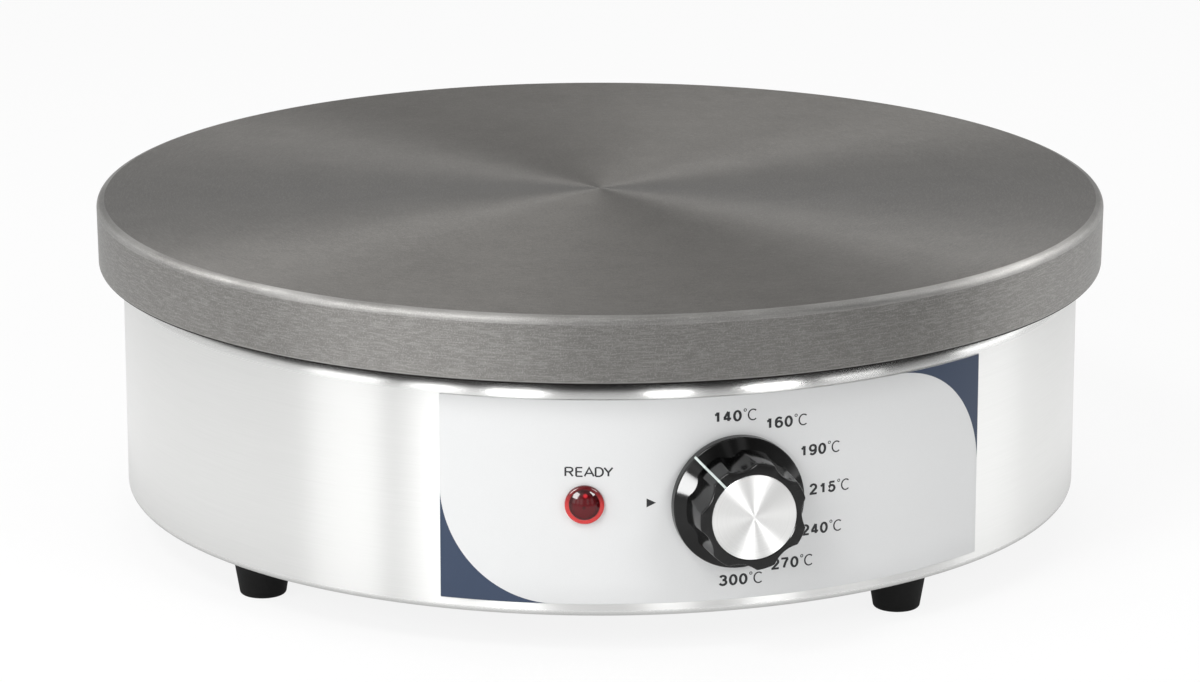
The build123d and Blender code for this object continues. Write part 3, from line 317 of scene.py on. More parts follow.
def shader_group(name, inputs, outputs):
    """An empty shader group with named inputs and outputs: its tree, its inputs'
    sockets, and the node that its results go to."""
    tree = bpy.data.node_groups.new(name, "ShaderNodeTree")
    for way, labels in (("INPUT", inputs), ("OUTPUT", outputs)):
        for label in labels:
            tree.interface.new_socket(name=label, in_out=way, socket_type="NodeSocketFloat")
    return tree, tree.nodes.new("NodeGroupInput").outputs, tree.nodes.new("NodeGroupOutput")


def use(tree, group, **values):
    """Places a shader group in a material with its own values, and returns its outputs."""
    return wire(tree, "Group", values, node_tree=group).outputs


def make_grain():
    """Fine grain and soft cloudiness over Object coordinates."""
    tree, given, out = shader_group("grain", ["Fine", "Broad"], ["Fine", "Broad"])
    place = object_place(tree)
    fine = noise(tree, place, given["Fine"], 3.0)
    give(tree, out, {"Fine": fine, "Broad": noise(tree, place, given["Broad"], 4.0)})
    return tree


def make_tool_lines():
    """Lines that a lathe or an abrasive belt leaves round a turned surface. Noise is
    read at the length along the profile, stretched far round the axis: the turn is the
    unit direction from the Z axis, so it has no seam. The bands are the same, but eight
    times as wide."""
    tree, given, out = shader_group("tool lines", ["Pitch", "Round"], ["Lines", "Bands"])
    x, y, _ = parts_of(tree, object_place(tree))
    flat = vector_of(tree, x, y, 0.0)
    turn = wire(tree, "VectorMath", {0: flat}, operation="NORMALIZE").outputs[0]
    turn = parts_of(tree, turn)
    along = times(tree, parts_of(tree, surface_uv(tree))[0], given["Pitch"])
    for label, share in (("Lines", 1.0), ("Bands", 0.12)):
        across = [times(tree, turn[axis], given["Round"]) for axis in (0, 1)]
        spot = vector_of(tree, *across, times(tree, along, share))
        give(tree, out, {label: noise(tree, spot, 1.0, 2.0)})
    return tree


def make_edge_rub():
    """Where hands and cloths have rubbed an edge: the piece's edge mask, broken up by
    noise."""
    tree, given, out = shader_group("edge rub", ["Amount", "Patch"], ["Rub"])
    patchy = spread(tree, noise(tree, object_place(tree), given["Patch"], 3.0), 0.35, 0.65)
    rub = times(tree, times(tree, edge_mask(tree), patchy), given["Amount"])
    give(tree, out, {"Rub": rub})
    return tree


def make_handling():
    """Faint wiped streaks and finger marks: two sizes of noise, of which only the
    higher parts stay."""
    tree, given, out = shader_group("handling", ["Size"], ["Marks"])
    place = object_place(tree)
    wiped = spread(tree, noise(tree, place, given["Size"], 5.0, 0.8), 0.48, 0.72)
    fingers = spread(tree, noise(tree, place, 420.0, 2.0), 0.25, 0.75, 0.5, 1.0)
    give(tree, out, {"Marks": times(tree, wiped, fingers)})
    return tree


def make_settled():
    """Fine dust that lies on what faces up."""
    tree, given, out = shader_group("settled dust", ["Amount"], ["Dust"])
    level = spread(tree, facing_up(tree), 0.4, 0.95)
    cloud = spread(tree, noise(tree, object_place(tree), 70.0, 6.0), 0.3, 0.75)
    give(tree, out, {"Dust": times(tree, times(tree, level, cloud), given["Amount"])})
    return tree


def make_spangle():
    """Zinc crystals: a random tone in each cell."""
    tree, given, out = shader_group("spangle", ["Cells"], ["Tone"])
    cells = wire(tree, "TexVoronoi", {"Vector": object_place(tree), "Scale": given["Cells"]})
    tone = wire(tree, "SeparateColor", {0: cells.outputs["Color"]}).outputs[0]
    give(tree, out, {"Tone": tone})
    return tree


GRAIN = make_grain()
TOOL_LINES = make_tool_lines()
EDGE_RUB = make_edge_rub()
HANDLING = make_handling()
SETTLED = make_settled()
SPANGLE = make_spangle()


# Finishes

DUST_GREY = (0.30, 0.29, 0.27)


def new_finish(name, roughness, metallic=0.0, **constants):
    """A material and its tree. Its constants stand on the Principled BSDF's own
    sockets, whose names have _ for a space here."""
    made = bpy.data.materials.new(name)
    made.use_nodes = True
    tree = made.node_tree
    constants.update(Roughness=roughness, Metallic=metallic)
    own = {label.replace("_", " "): value for label, value in constants.items()}
    give(tree, tree.nodes["Principled BSDF"], own)
    return made, tree


def finished(made, colour, rough, height, depth, strength, brushed=False):
    """A material with its colour, its roughness, and a bump of that height and depth in
    metres. A brushed one turns its stretched highlight across its tool lines."""
    tree = made.node_tree
    bump = wire(tree, "Bump", {"Height": height, "Distance": depth, "Strength": strength})
    sources = {"Base Color": colour, "Roughness": rough, "Normal": bump.outputs[0]}
    if brushed:
        tangent = wire(tree, "Tangent", direction_type="UV_MAP", uv_map="surface")
        sources["Tangent"] = tangent.outputs[0]
    give(tree, tree.nodes["Principled BSDF"], sources)
    return made


def iron_finish():
    """Cast iron turned on a lathe: seasoned dark on top, barer down the side, black on
    what faces down, with a fine sparkle, short tool lines that run round it, and a rim
    polished by scrapers. Lines and sparkle are fainter on top."""
    made, tree = new_finish("seasoned iron", 0.48, 0.94, Anisotropic=0.78)
    grain = use(tree, GRAIN, Fine=1900.0, Broad=11.0)
    lines = use(tree, TOOL_LINES, Pitch=2200.0, Round=34.0)["Lines"]
    rub = use(tree, EDGE_RUB, Amount=0.25, Patch=14.0)["Rub"]
    polish = summed(tree, rub, (edge_mask(tree), 0.11))
    marks = use(tree, HANDLING, Size=9.0)["Marks"]
    dust = use(tree, SETTLED, Amount=0.06)["Dust"]
    rise = facing_up(tree)
    top = spread(tree, rise, 0.45, 0.95)
    # Black on what faces down.
    under = spread(tree, rise, -0.45, -0.05, 1.0, 0.0)
    dark = mixed(tree, grain["Broad"], (0.106, 0.102, 0.096), (0.130, 0.125, 0.117))
    bare = mixed(tree, grain["Broad"], (0.222, 0.217, 0.207), (0.264, 0.257, 0.246))
    tooled = spread(tree, lines, 0.44, 0.66, 0.0, 0.50)
    tooled = times(tree, tooled, spread(tree, rise, 0.45, 0.95, 1.0, 0.22))
    sparkle = spread(tree, grain["Fine"], 0.48, 0.68, 0.0, 0.52)
    sparkle = times(tree, sparkle, spread(tree, rise, 0.45, 0.95, 1.0, 0.25))
    colour = coated(
        tree,
        mixed(tree, top, bare, dark),
        (tooled, (0.40, 0.392, 0.376)),
        (sparkle, (0.44, 0.43, 0.415)),
        (polish, (0.66, 0.655, 0.64)),
        (dust, DUST_GREY),
        (under, (0.022, 0.020, 0.019)),
    )
    rough = summed(
        tree, 0.45, (lines, 0.10), (marks, -0.05), (polish, -0.22), (top, 0.10), (under, 0.25)
    )
    height = summed(tree, times(tree, lines, 0.6), (grain["Fine"], 0.7))
    return finished(made, colour, rough, height, 0.00007, 0.6, brushed=True)


def drum_finish():
    """Stainless sheet with a very fine brushed grain round it, a little wiped, and
    glossier where it is drawn round its bends."""
    made, tree = new_finish("brushed stainless", 0.31, 1.0, Anisotropic=1.0)
    lines = use(tree, TOOL_LINES, Pitch=9000.0, Round=7.0)
    marks = use(tree, HANDLING, Size=6.0)["Marks"]
    cloud = use(tree, GRAIN, Fine=2200.0, Broad=5.0)["Broad"]
    brushed = spread(tree, lines["Lines"], 0.25, 0.75)
    colour = mixed(tree, brushed, (0.878, 0.880, 0.868), (0.918, 0.920, 0.908))
    colour = mixed(tree, times(tree, marks, 0.10), colour, (0.80, 0.795, 0.775))
    bend = edge_mask(tree)
    rough = summed(
        tree, 0.27, (lines["Bands"], 0.03), (marks, 0.025), (cloud, 0.02), (bend, -0.12)
    )
    return finished(made, colour, rough, lines["Lines"], 0.000004, 0.3, brushed=True)


def sheet_metal(name, colour, roughness, cells, contrast=0.12):
    """Zinc-plated sheet and fasteners: crystals of slightly different tone."""
    made, tree = new_finish(name, roughness, 1.0)
    tone = use(tree, SPANGLE, Cells=cells)["Tone"]
    grain = use(tree, GRAIN, Fine=1100.0, Broad=26.0)
    marks = use(tree, HANDLING, Size=16.0)["Marks"]
    crystals = mixed(tree, tone, toned(colour, 1 - contrast), toned(colour, 1 + contrast))
    handled = mixed(tree, times(tree, marks, 0.5), crystals, toned(colour, 0.72))
    rough = summed(tree, roughness - 0.06, (tone, 0.12), (grain["Broad"], 0.10))
    return finished(made, handled, rough, grain["Fine"], 0.00002, 0.4)


def drawn_metal(name, colour, roughness, stained):
    """Drawn or machined metal with a heat or handling tint in soft clouds."""
    made, tree = new_finish(name, roughness, 1.0)
    grain = use(tree, GRAIN, Fine=900.0, Broad=45.0)
    marks = use(tree, HANDLING, Size=30.0)["Marks"]
    cloud = spread(tree, grain["Broad"], 0.35, 0.68)
    tone = mixed(tree, times(tree, cloud, 0.7), colour, stained)
    rough = summed(tree, roughness, (marks, 0.12))
    return finished(made, tone, rough, grain["Fine"], 0.00003, 0.5)


def moulded(name, colour, roughness, fine=700.0, depth=0.00003, shift=0.85, **constants):
    """Moulded plastic, rubber or ceramic: a fine skin, cloudy tone and light dust."""
    made, tree = new_finish(name, roughness, **constants)
    grain = use(tree, GRAIN, Fine=fine, Broad=30.0)
    marks = use(tree, HANDLING, Size=26.0)["Marks"]
    dust = use(tree, SETTLED, Amount=0.10)["Dust"]
    tone = coated(tree, colour, (grain["Broad"], toned(colour, shift)), (dust, DUST_GREY))
    rough = summed(tree, roughness, (marks, 0.08), (grain["Fine"], 0.06))
    return finished(made, tone, rough, grain["Fine"], depth, 0.5)


def fibre_finish():
    """Ceramic fibre board: matted fibres over a loose pale body."""
    made, tree = new_finish("fibre board", 0.95)
    fibres = noise(tree, object_place(tree), 500.0, 6.0, 2.5)
    tone = mixed(tree, spread(tree, fibres, 0.35, 0.65), (0.70, 0.67, 0.60), (0.88, 0.86, 0.80))
    return finished(made, tone, 0.95, fibres, 0.0004, 0.8)


def panel_finish():
    """Silver-grey printed sheet: satin lacquer over fine metallic flakes."""
    made, tree = new_finish("panel sheet", 0.42, 0.10, Coat_Weight=0.15, Coat_Roughness=0.30)
    flakes = use(tree, GRAIN, Fine=3500.0, Broad=8.0)["Fine"]
    marks = use(tree, HANDLING, Size=14.0)["Marks"]
    tone = mixed(tree, flakes, (0.658, 0.664, 0.665), (0.706, 0.712, 0.713))
    tone = mixed(tree, times(tree, marks, 0.05), tone, (0.60, 0.60, 0.60))
    return finished(made, tone, summed(tree, 0.38, (marks, 0.08)), flakes, 0.00001, 0.35)


def ink_finish(name, colour, roughness):
    """Screen-printed ink: even, with a fine mesh texture at its surface."""
    made, tree = new_finish(name, roughness)
    grain = use(tree, GRAIN, Fine=2600.0, Broad=60.0)
    tone = mixed(tree, grain["Fine"], colour, toned(colour, 1.12, 0.004))
    rough = summed(tree, roughness - 0.04, (grain["Broad"], 0.08))
    return finished(made, tone, rough, grain["Fine"], 0.000008, 0.4)


def cap_finish():
    """Aluminium spun bright: fine rings about the knob's axis."""
    made, tree = new_finish("spun aluminium", 0.40, 1.0, Anisotropic=0.97)
    along, around, _ = parts_of(tree, surface_uv(tree))
    spot = vector_of(tree, times(tree, along, 9000.0), times(tree, around, 12.0), 0.0)
    rings = noise(tree, spot, 1.0, 3.0)
    tone = mixed(tree, spread(tree, rings, 0.3, 0.7), (0.86, 0.86, 0.85), (0.95, 0.95, 0.94))
    rough = summed(tree, 0.31, (rings, 0.08))
    return finished(made, tone, rough, rings, 0.00001, 0.4, brushed=True)


def lens_finish():
    """Clear red plastic, drawn with painted light rather than lit through. The dome is
    painted dark red, as painted shade for the hollow behind it, darker towards its rim
    and at its very middle, with a fine ring pattern moulded inside and a painted glint a
    little above its middle, where the neon's tip would show. The flange has painted light
    in its lower half, as if it gathered light from the table, and painted shade, deep
    red, on top."""
    made, tree = new_finish("lens red", 0.06, 0.0, Specular_IOR_Level=0.4)
    along = surface_uv(tree)
    out = parts_of(tree, along)[0]
    place = object_place(tree)
    rise = parts_of(tree, place)[2]
    # The painted flange colour reaches further in below the lens's middle than above it.
    tilt = 0.10
    lift = summed(tree, tilt * LAMP_Z * MM, (rise, -tilt))
    ring = spread(tree, calc(tree, "ADD", out, lift), 0.0060, 0.0067)
    # Painted glint: a bright red spot where the neon's tip would show, a little above the
    # dome's middle.
    tip_right, tip_out, tip_up = 0.4, 3.4, 4.2
    axis = (LAMP_ARC + tip_right) / PANEL_OUTER
    tip = Vector((sin(axis), -cos(axis), 0)) * (PANEL_OUTER + tip_out)
    tip += Vector((0, 0, LAMP_Z + tip_up))
    ends = {0: place, 1: tuple(tip * MM)}
    reach = wire(tree, "VectorMath", ends, operation="DISTANCE").outputs["Value"]
    painted_glint = spread(tree, reach, 0.0004, 0.0011, 1.0, 0.0)
    core = spread(tree, out, 0.0001, 0.0009, 1.0, 0.0)
    wave = wire(tree, "TexWave", {"Vector": along, "Scale": 420.0, "Distortion": 0.4})
    # The dome's colour is painted shade for the hollow behind it: dark red, darker towards its
    # rim and at its very middle, with the moulded ring pattern and the painted glint over it.
    deep = coated(
        tree,
        (0.085, 0.0018, 0.004),
        (times(tree, wave.outputs["Fac"], 0.6), (0.16, 0.004, 0.009)),
        (spread(tree, out, 0.0036, 0.0060, 0.0, 0.75), (0.022, 0.001, 0.0015)),
        (times(tree, core, 0.8), (0.018, 0.001, 0.001)),
        (times(tree, painted_glint, 0.9), (0.70, 0.035, 0.045)),
    )
    # Painted light on the flange: bright red in its lower half, which faces the lit table, and
    # painted shade, deep red, on top.
    painted_shade_above = spread(tree, rise, (LAMP_Z - 1.0) * MM, (LAMP_Z + 6.5) * MM)
    glow = mixed(tree, painted_shade_above, (0.62, 0.042, 0.042), (0.13, 0.004, 0.007))
    give(tree, tree.nodes["Principled BSDF"], {"Base Color": mixed(tree, ring, deep, glow)})
    return made


def gloss_finish():
    """Gloss black thermoset of the knob: polished, with faint hairlines and a dull bloom
    where fingers turn it."""
    made, tree = new_finish("knob gloss black", 0.12, 0.0, Specular_IOR_Level=0.36)
    grain = use(tree, GRAIN, Fine=1300.0, Broad=50.0)["Fine"]
    marks = use(tree, HANDLING, Size=60.0)["Marks"]
    rub = use(tree, EDGE_RUB, Amount=0.6, Patch=240.0)["Rub"]
    black, handled, rubbed = (0.0022,) * 3, (0.0040, 0.0039, 0.0038), (0.016,) * 3
    tone = coated(tree, black, (marks, handled), (rub, rubbed))
    rough = summed(tree, 0.10, (marks, 0.06), (rub, 0.14))
    return finished(made, tone, rough, grain, 0.000006, 0.25)


FINISH = {
    "cast_iron": iron_finish(),
    "stainless_sheet": drum_finish(),
    "plated_steel": sheet_metal("plated sheet", (0.60, 0.61, 0.62), 0.38, 210.0),
    "zinc_fastener": sheet_metal("zinc fastener", (0.62, 0.62, 0.60), 0.32, 900.0, 0.07),
    "element_sheath": drawn_metal(
        "heat-dark sheath", (0.30, 0.28, 0.26), 0.46, (0.16, 0.13, 0.12)
    ),
    "ceramic": moulded("glazed ceramic", (0.85, 0.83, 0.78), 0.22, 260.0, 0.00002, 0.94),
    "nickel_pin": drawn_metal("nickel", (0.62, 0.60, 0.55), 0.28, (0.52, 0.49, 0.43)),
    "ceramic_fibre": fibre_finish(),
    "copper": drawn_metal("drawn copper", (0.80, 0.47, 0.33), 0.30, (0.52, 0.26, 0.17)),
    "brass": drawn_metal("brass", (0.78, 0.62, 0.32), 0.30, (0.60, 0.44, 0.20)),
    "panel_film": panel_finish(),
    "phenolic": moulded("phenolic", (0.060, 0.048, 0.042), 0.35, 800.0, 0.00003, 0.7),
    "knob_black": gloss_finish(),
    "knob_aluminium": cap_finish(),
    "pointer_white": ink_finish("pointer white", (0.56, 0.62, 0.60), 0.35),
    "lens_red": lens_finish(),
    "lamp_plastic": moulded("lamp barrel", (0.74, 0.72, 0.66), 0.45),
    "neon_glass": moulded(
        "neon glass", (0.92, 0.80, 0.66), 0.06, 200.0, 0.00001, 0.95, Transmission_Weight=0.8
    ),
    "gland_nylon": moulded("gland nylon", (0.024, 0.024, 0.025), 0.42, 1400.0, 0.00008),
    "rubber": moulded(
        "foot rubber", (0.006, 0.006, 0.006), 0.62, 1100.0, 0.00010, Specular_IOR_Level=0.25
    ),
    "seal_rubber": moulded("seal rubber", (0.030, 0.030, 0.031), 0.55, 1200.0, 0.00006),
    "block_nylon": moulded("block nylon", (0.80, 0.78, 0.70), 0.40, 900.0, 0.00004, 0.93),
    "reset_red": moulded("reset red", (0.55, 0.030, 0.022), 0.30, 900.0, 0.00002, 0.9),
    "live_sleeve": moulded("brown sleeve", (0.24, 0.105, 0.05), 0.5, 1500.0, 0.00006),
    "neutral_sleeve": moulded("blue sleeve", (0.05, 0.15, 0.50), 0.5, 1500.0, 0.00006),
    "earth_sleeve": moulded("green sleeve", (0.22, 0.45, 0.06), 0.5, 1500.0, 0.00006),
}
NAVY = ink_finish("navy print", (0.024, 0.041, 0.080), 0.40)
LETTER_GREY = ink_finish("letter grey", (0.013, 0.013, 0.015), 0.5)

for row in frame["record"]["subparts"]:
    node = frame["nodes"][row["node"]]
    node.data.materials.clear()
    node.data.materials.append(FINISH[row["material_slot"]])


# Plate and drum

def griddle_plate():
    """A closed ring-shaped section turned about Z: the flat top, the rolled rim, the
    deep skirt with a slight draft, its chamfered foot and inner wall, and the flat
    underside. Three bosses stand under it."""
    draft, chamfer = 0.4, 1.0
    corners = [
        (0, PLATE_TOP),
        (40, PLATE_TOP),
        (PLATE_RADIUS, PLATE_TOP),
        (PLATE_RADIUS - draft, SKIRT_BOTTOM),
        (SKIRT_INNER + chamfer, SKIRT_BOTTOM),
        (SKIRT_INNER, SKIRT_BOTTOM + chamfer),
        (SKIRT_INNER, PLATE_UNDERSIDE),
        (0, PLATE_UNDERSIDE),
    ]
    profile, worn = rounded(corners, [0, 0, 3.0, 1.2, 0.3, 0.3, 2.0, 0], steps=10)
    patches = [turned(profile, columns=720, worn=worn)]
    corners = [(BOSS_RADIUS, PLATE_UNDERSIDE), (BOSS_RADIUS, BOSS_BOTTOM), (0, BOSS_BOTTOM)]
    boss, _ = rounded(corners, [0, 0.5, 0], 4)
    for degrees in (-50, 70, 190):
        angle = radians(degrees)
        centre = (BOSS_CIRCLE * cos(angle), BOSS_CIRCLE * sin(angle), 0)
        patches.append(turned(boss, 40, centre))
    dress("griddle_plate", patches, "cast_iron")


def housing_drum():
    """The drum's sheet, a closed section turned about Z: outer wall with a bend into an
    inward flange at each end, and the same line again one sheet further in."""
    outer, worn = rounded(
        [
            (FLANGE_TOP, DRUM_TOP),
            (DRUM_RADIUS, DRUM_TOP),
            (DRUM_RADIUS, DRUM_BOTTOM),
            (FLANGE_BOTTOM, DRUM_BOTTOM),
        ],
        [0, 6.0, 2.5, 0],
        10,
    )
    inner, _ = rounded(
        [
            (FLANGE_BOTTOM, DRUM_BOTTOM + DRUM_SHEET),
            (DRUM_RADIUS - DRUM_SHEET, DRUM_BOTTOM + DRUM_SHEET),
            (DRUM_RADIUS - DRUM_SHEET, DRUM_TOP - DRUM_SHEET),
            (FLANGE_TOP, DRUM_TOP - DRUM_SHEET),
            (FLANGE_TOP, DRUM_TOP),
        ],
        [0, 1.7, 5.2, 0, 0],
        6,
    )
    edge = np.concatenate([worn * 0.4, np.zeros(len(inner))])
    profile = np.concatenate([outer, inner])
    drum = turned(profile, columns=720, worn=edge)
    dress("housing_drum", [drum], "stainless_sheet")


# Control panel

def sheet_patch(arc, height, proud=0.0):
    """A grid of arcs and heights laid on the panel, with those as its UV: the arc over
    the panel's radius is the angle from -Y towards +X."""
    angle = arc / PANEL_OUTER
    radius = PANEL_OUTER + proud
    points = np.stack([radius * np.sin(angle), -radius * np.cos(angle), height], axis=-1)
    return points, np.stack([arc, height], axis=-1), np.zeros(arc.shape)


def control_panel():
    """The thin curved sheet: a grid of arc and height on the panel's outer radius, which
    Solidify thickens inwards and Bevel eases at its edges."""
    height, arc = np.meshgrid(
        np.linspace(PANEL_HIGH, PANEL_LOW, 9),
        np.linspace(-PANEL_HALF, PANEL_HALF, 97),
        indexing="ij",
    )
    piece = dress("control_panel", [sheet_patch(arc, height)], "panel_film", sheet=True)
    wall = piece.modifiers.new("wall", "SOLIDIFY")
    wall.thickness = (PANEL_OUTER - PANEL_INNER) * MM
    wall.offset = -1
    edge = piece.modifiers.new("edge", "BEVEL")
    edge.width = 0.2 * MM
    edge.segments = 2
    edge.limit_method = "ANGLE"
    edge.angle_limit = radians(50)


def corner_prints():
    """The two printed navy corners. Each lies between an arc about a point on the panel
    and the panel's square corner: a ray at an angle meets the arc at its radius and the
    corner at the radius over the greater of its cosine and sine."""
    size, margin = 44.0, 0.12
    angle = np.linspace(0, pi / 2, 49)
    share = np.linspace(0, 1, 13)[:, None]
    reach = 1 / np.maximum(np.cos(angle), np.sin(angle))
    radius = size * (1 + share * (reach - 1))
    across = np.minimum(radius * np.cos(angle), size - margin)
    rise = np.minimum(radius * np.sin(angle), size - margin)
    middle, half = 0.5 * (PANEL_LOW + PANEL_HIGH), 0.5 * (PANEL_HIGH - PANEL_LOW)
    for name, side in (("navy_corner_right", 1), ("navy_corner_left", -1)):
        arc = side * (PANEL_HALF - size + across)
        height = middle + side * (half - size + rise)
        print_on_panel(name, [sheet_patch(arc, height, PRINT_LIFT)], NAVY)


def bow(middle, size, first, last, count=14):
    """Points of an elliptic arc about a middle, from one angle in degrees to another."""
    angle = np.radians(np.linspace(first, last, count))
    return np.stack(
        [middle[0] + size[0] * np.cos(angle), middle[1] + size[1] * np.sin(angle)], axis=1
    )


def join(*runs):
    """Runs of points, one after the other."""
    return np.concatenate([np.asarray(run, float) for run in runs])


# Centre lines of the letters, in a box one wide and one high
STEM = [(0, 0), (0, 1)]
NINE = [
    bow((0.5, 0.69), (0.5, 0.31), 0, 360, 26),
    join(bow((0.42, 0.42), (0.58, 0.42), 20, -95), [(0.03, 0.12)]),
]
STROKES = {
    "0": [bow((0.5, 0.5), (0.5, 0.5), 0, 360, 30)],
    "1": [[(0.66, 0), (0.66, 1)], [(0.16, 0.70), (0.42, 0.77), (0.60, 0.97)]],
    "2": [
        join(bow((0.5, 0.71), (0.48, 0.29), 172, -28), [(0.06, 0.02)]),
        [(-0.14, 0), (1.12, 0)],
    ],
    "3": [
        bow((0.46, 0.76), (0.44, 0.24), 165, -100),
        bow((0.46, 0.28), (0.52, 0.28), 95, -165),
    ],
    "4": [[(0.70, 0), (0.70, 1)], [(0.66, 1.0), (0.02, 0.30)], [(-0.1, 0.25), (1.12, 0.25)]],
    "5": [
        [(1.0, 1), (0.1, 1)],
        join([(0.2, 1.0), (0.09, 0.50)], bow((0.47, 0.33), (0.52, 0.33), 138, -160)),
    ],
    "6": [1 - np.asarray(run) for run in NINE],
    "7": [[(-0.12, 1), (1.05, 1)], [(0.98, 0.98), (0.60, 0.55), (0.42, 0.22), (0.36, 0)]],
    "9": NINE,
    "C": [bow((0.52, 0.5), (0.52, 0.5), 48, 312, 24)],
    "R": [
        STEM,
        join([(0, 1)], bow((0.62, 0.75), (0.33, 0.25), 90, -90), [(0, 0.5)]),
        [(0.52, 0.5), (0.98, 0)],
    ],
    "E": [STEM, [(0, 1), (0.92, 1)], [(0, 0.52), (0.84, 0.52)], [(0, 0), (0.96, 0)]],
    "A": [[(0, 0), (0.5, 1), (1, 0)], [(0.19, 0.34), (0.81, 0.34)]],
    "D": [STEM, join([(0, 1)], bow((0.42, 0.5), (0.55, 0.5), 90, -90), [(0, 0)])],
    "Y": [[(0, 1), (0.5, 0.44), (1, 1)], [(0.5, 0.44), (0.5, 0)]],
    "o": [bow((0.5, 0.5), (0.5, 0.5), 0, 360, 18)],
}


def pen_line(path, width, lift):
    """A stroke as a ribbon: each point of the centre line is moved both ways along the
    mitre of its two neighbours' normals, by half the pen's width. The pen is wider
    across upright strokes than across level ones."""
    longest_mitre, level_width = 1.6, 0.8
    run = np.diff(path, axis=0)
    run /= np.linalg.norm(run, axis=1)[:, None]
    if np.allclose(path[0], path[-1]):
        before, after = np.vstack([run[-1:], run]), np.vstack([run, run[:1]])
    else:
        before, after = np.vstack([run[:1], run]), np.vstack([run, run[-1:]])
    before = np.stack([-before[:, 1], before[:, 0]], axis=1)
    after = np.stack([-after[:, 1], after[:, 0]], axis=1)
    mitre = (before + after) / (1 + np.sum(before * after, axis=1))[:, None]
    mitre /= np.maximum(np.linalg.norm(mitre, axis=1) / longest_mitre, 1)[:, None]
    half = 0.5 * width * np.hypot(before[:, 0], level_width * before[:, 1])[:, None]
    grid = np.stack([path - mitre * half, path + mitre * half], axis=1)
    return sheet_patch(grid[..., 0], grid[..., 1], lift)


def lettering(name, words):
    """Words printed on the panel: every letter has a left edge, a base line, a width, a
    height and a pen width. Strokes that cross lie a hair above each other."""
    patches = []
    for letter, left, low, width, tall, pen in words:
        for number, stroke in enumerate(STROKES[letter]):
            path = np.asarray(stroke, float) * (width - pen, tall - 0.8 * pen)
            path += (left + 0.5 * pen, low + 0.4 * pen)
            patches.append(pen_line(path, pen, PRINT_LIFT + PRINT_STEP * number))
    print_on_panel(name, patches, LETTER_GREY)


def dial_numbers():
    """Temperatures round the knob: bold figures with a thin degree sign and letter. Each
    has the arc and height of its middle from the knob's axis. A size is a width, a
    height and a pen width."""
    figure_size, degree_size = (3.35, 4.35, 1.0), (1.25, 1.25, 0.34)
    letter_size = (4.0, 4.5, 0.60)
    pitch, degree_place, letter_place = 3.85, 11.7, 13.3
    words = []
    for label, arc, rise in (
        ("140", -0.6, 32.0),
        ("160", 19.4, 28.1),
        ("190", 33.2, 16.1),
        ("215", 37.4, 0.9),
        ("240", 34.3, -14.5),
        ("270", 22.3, -26.3),
        ("300", 2.1, -30.8),
    ):
        left, low = arc - 8.5, KNOB_Z + rise - 2.2
        for place, figure in enumerate(label):
            words.append((figure, left + pitch * place, low, *figure_size))
        words.append(("o", left + degree_place, low + 3.5, *degree_size))
        words.append(("C", left + letter_place, low - 0.05, *letter_size))
    lettering("dial_numbers", words)


def ready_word():
    """The word over the lamp, in a plain light hand: each letter's place and width."""
    left, low, tall, pen = -54.6 - 8.95, 71.5 - 1.9, 3.85, 0.70
    places, widths = (0.0, 3.95, 7.0, 11.05, 14.2), (3.45, 3.15, 4.1, 3.5, 3.75)
    words = [
        (letter, left + place, low, width, tall, pen)
        for letter, place, width in zip("READY", places, widths)
    ]
    lettering("ready_word", words)


def off_mark():
    """The small filled triangle at the knob's off position: rows from its flat left
    side to its point."""
    left, length, half, above_lamp, proud = -33.5, 3.5, 1.7, 0.3, 0.02
    share = np.linspace(0, 1, 5)[:, None]
    side = np.linspace(-1, 1, 5)[None]
    arc = left + length * share + 0 * side
    height = LAMP_Z + above_lamp + half * side * (1 - share)
    print_on_panel("off_mark", [sheet_patch(arc, height, proud)], LETTER_GREY)


# Knob

def grip_ring(height, share):
    """The fluted grip's radius and angle at a height, for shares of each sector. Between
    flutes the radius is the tapered land's, and in a flute it is where a ray from the
    axis meets the flute's circle: D cos a - sqrt(r^2 - D^2 sin^2 a). The lesser of both
    is taken softly: -k log(exp(-land / k) + exp(-flute / k))."""
    taper, soft, flute_share = 0.7, 0.16, 0.6
    distance, root_radius, lean = 29.5, 9.9, radians(5.2)
    land = GRIP_RADIUS - taper * (height - SKIRT_FRONT) / (KNOB_LENGTH - SKIRT_FRONT)
    cutter = root_radius + (height - SKIRT_FRONT) * np.tan(lean)
    edge = np.arccos((distance ** 2 + land ** 2 - cutter ** 2) / (2 * distance * land))
    on_land = (share - flute_share) / (1 - flute_share)
    turn = np.where(
        share <= flute_share,
        share / flute_share * edge,
        edge + on_land * (pi / SECTORS - edge),
    )
    inner = np.sqrt(np.maximum(cutter ** 2 - (distance * np.sin(turn)) ** 2, 0))
    flute = distance * np.cos(turn) - inner
    return turn, -soft * np.logaddexp(-land / soft, -flute / soft)


def grip_rows(heights, inset):
    """Points of the grip at each height, over all sectors: each sector is a half sector
    and its mirror image, turned to its flute."""
    share = np.concatenate(
        [np.linspace(0, 0.42, 9), np.linspace(0.45, 0.78, 12), np.linspace(0.82, 1, 4)]
    )
    flutes = POINTER_ANGLE - FLUTE_LAG + pi / SECTORS + np.arange(SECTORS) * 2 * pi / SECTORS
    rows = []
    for height, step in zip(heights, inset):
        turn, radius = grip_ring(height, share)
        turn = np.concatenate([-turn[::-1], turn[1:]])
        radius = np.concatenate([radius[::-1], radius[1:]])
        angle = (flutes[:, None] + turn[None, :-1]).ravel()
        angle = np.append(angle, angle[0] + 2 * pi)
        radius = np.tile(radius[:-1], SECTORS)
        radius = np.append(radius, radius[0]) - step
        rows.append(np.stack([angle, radius, np.full_like(angle, height)], axis=1))
    return np.array(rows)


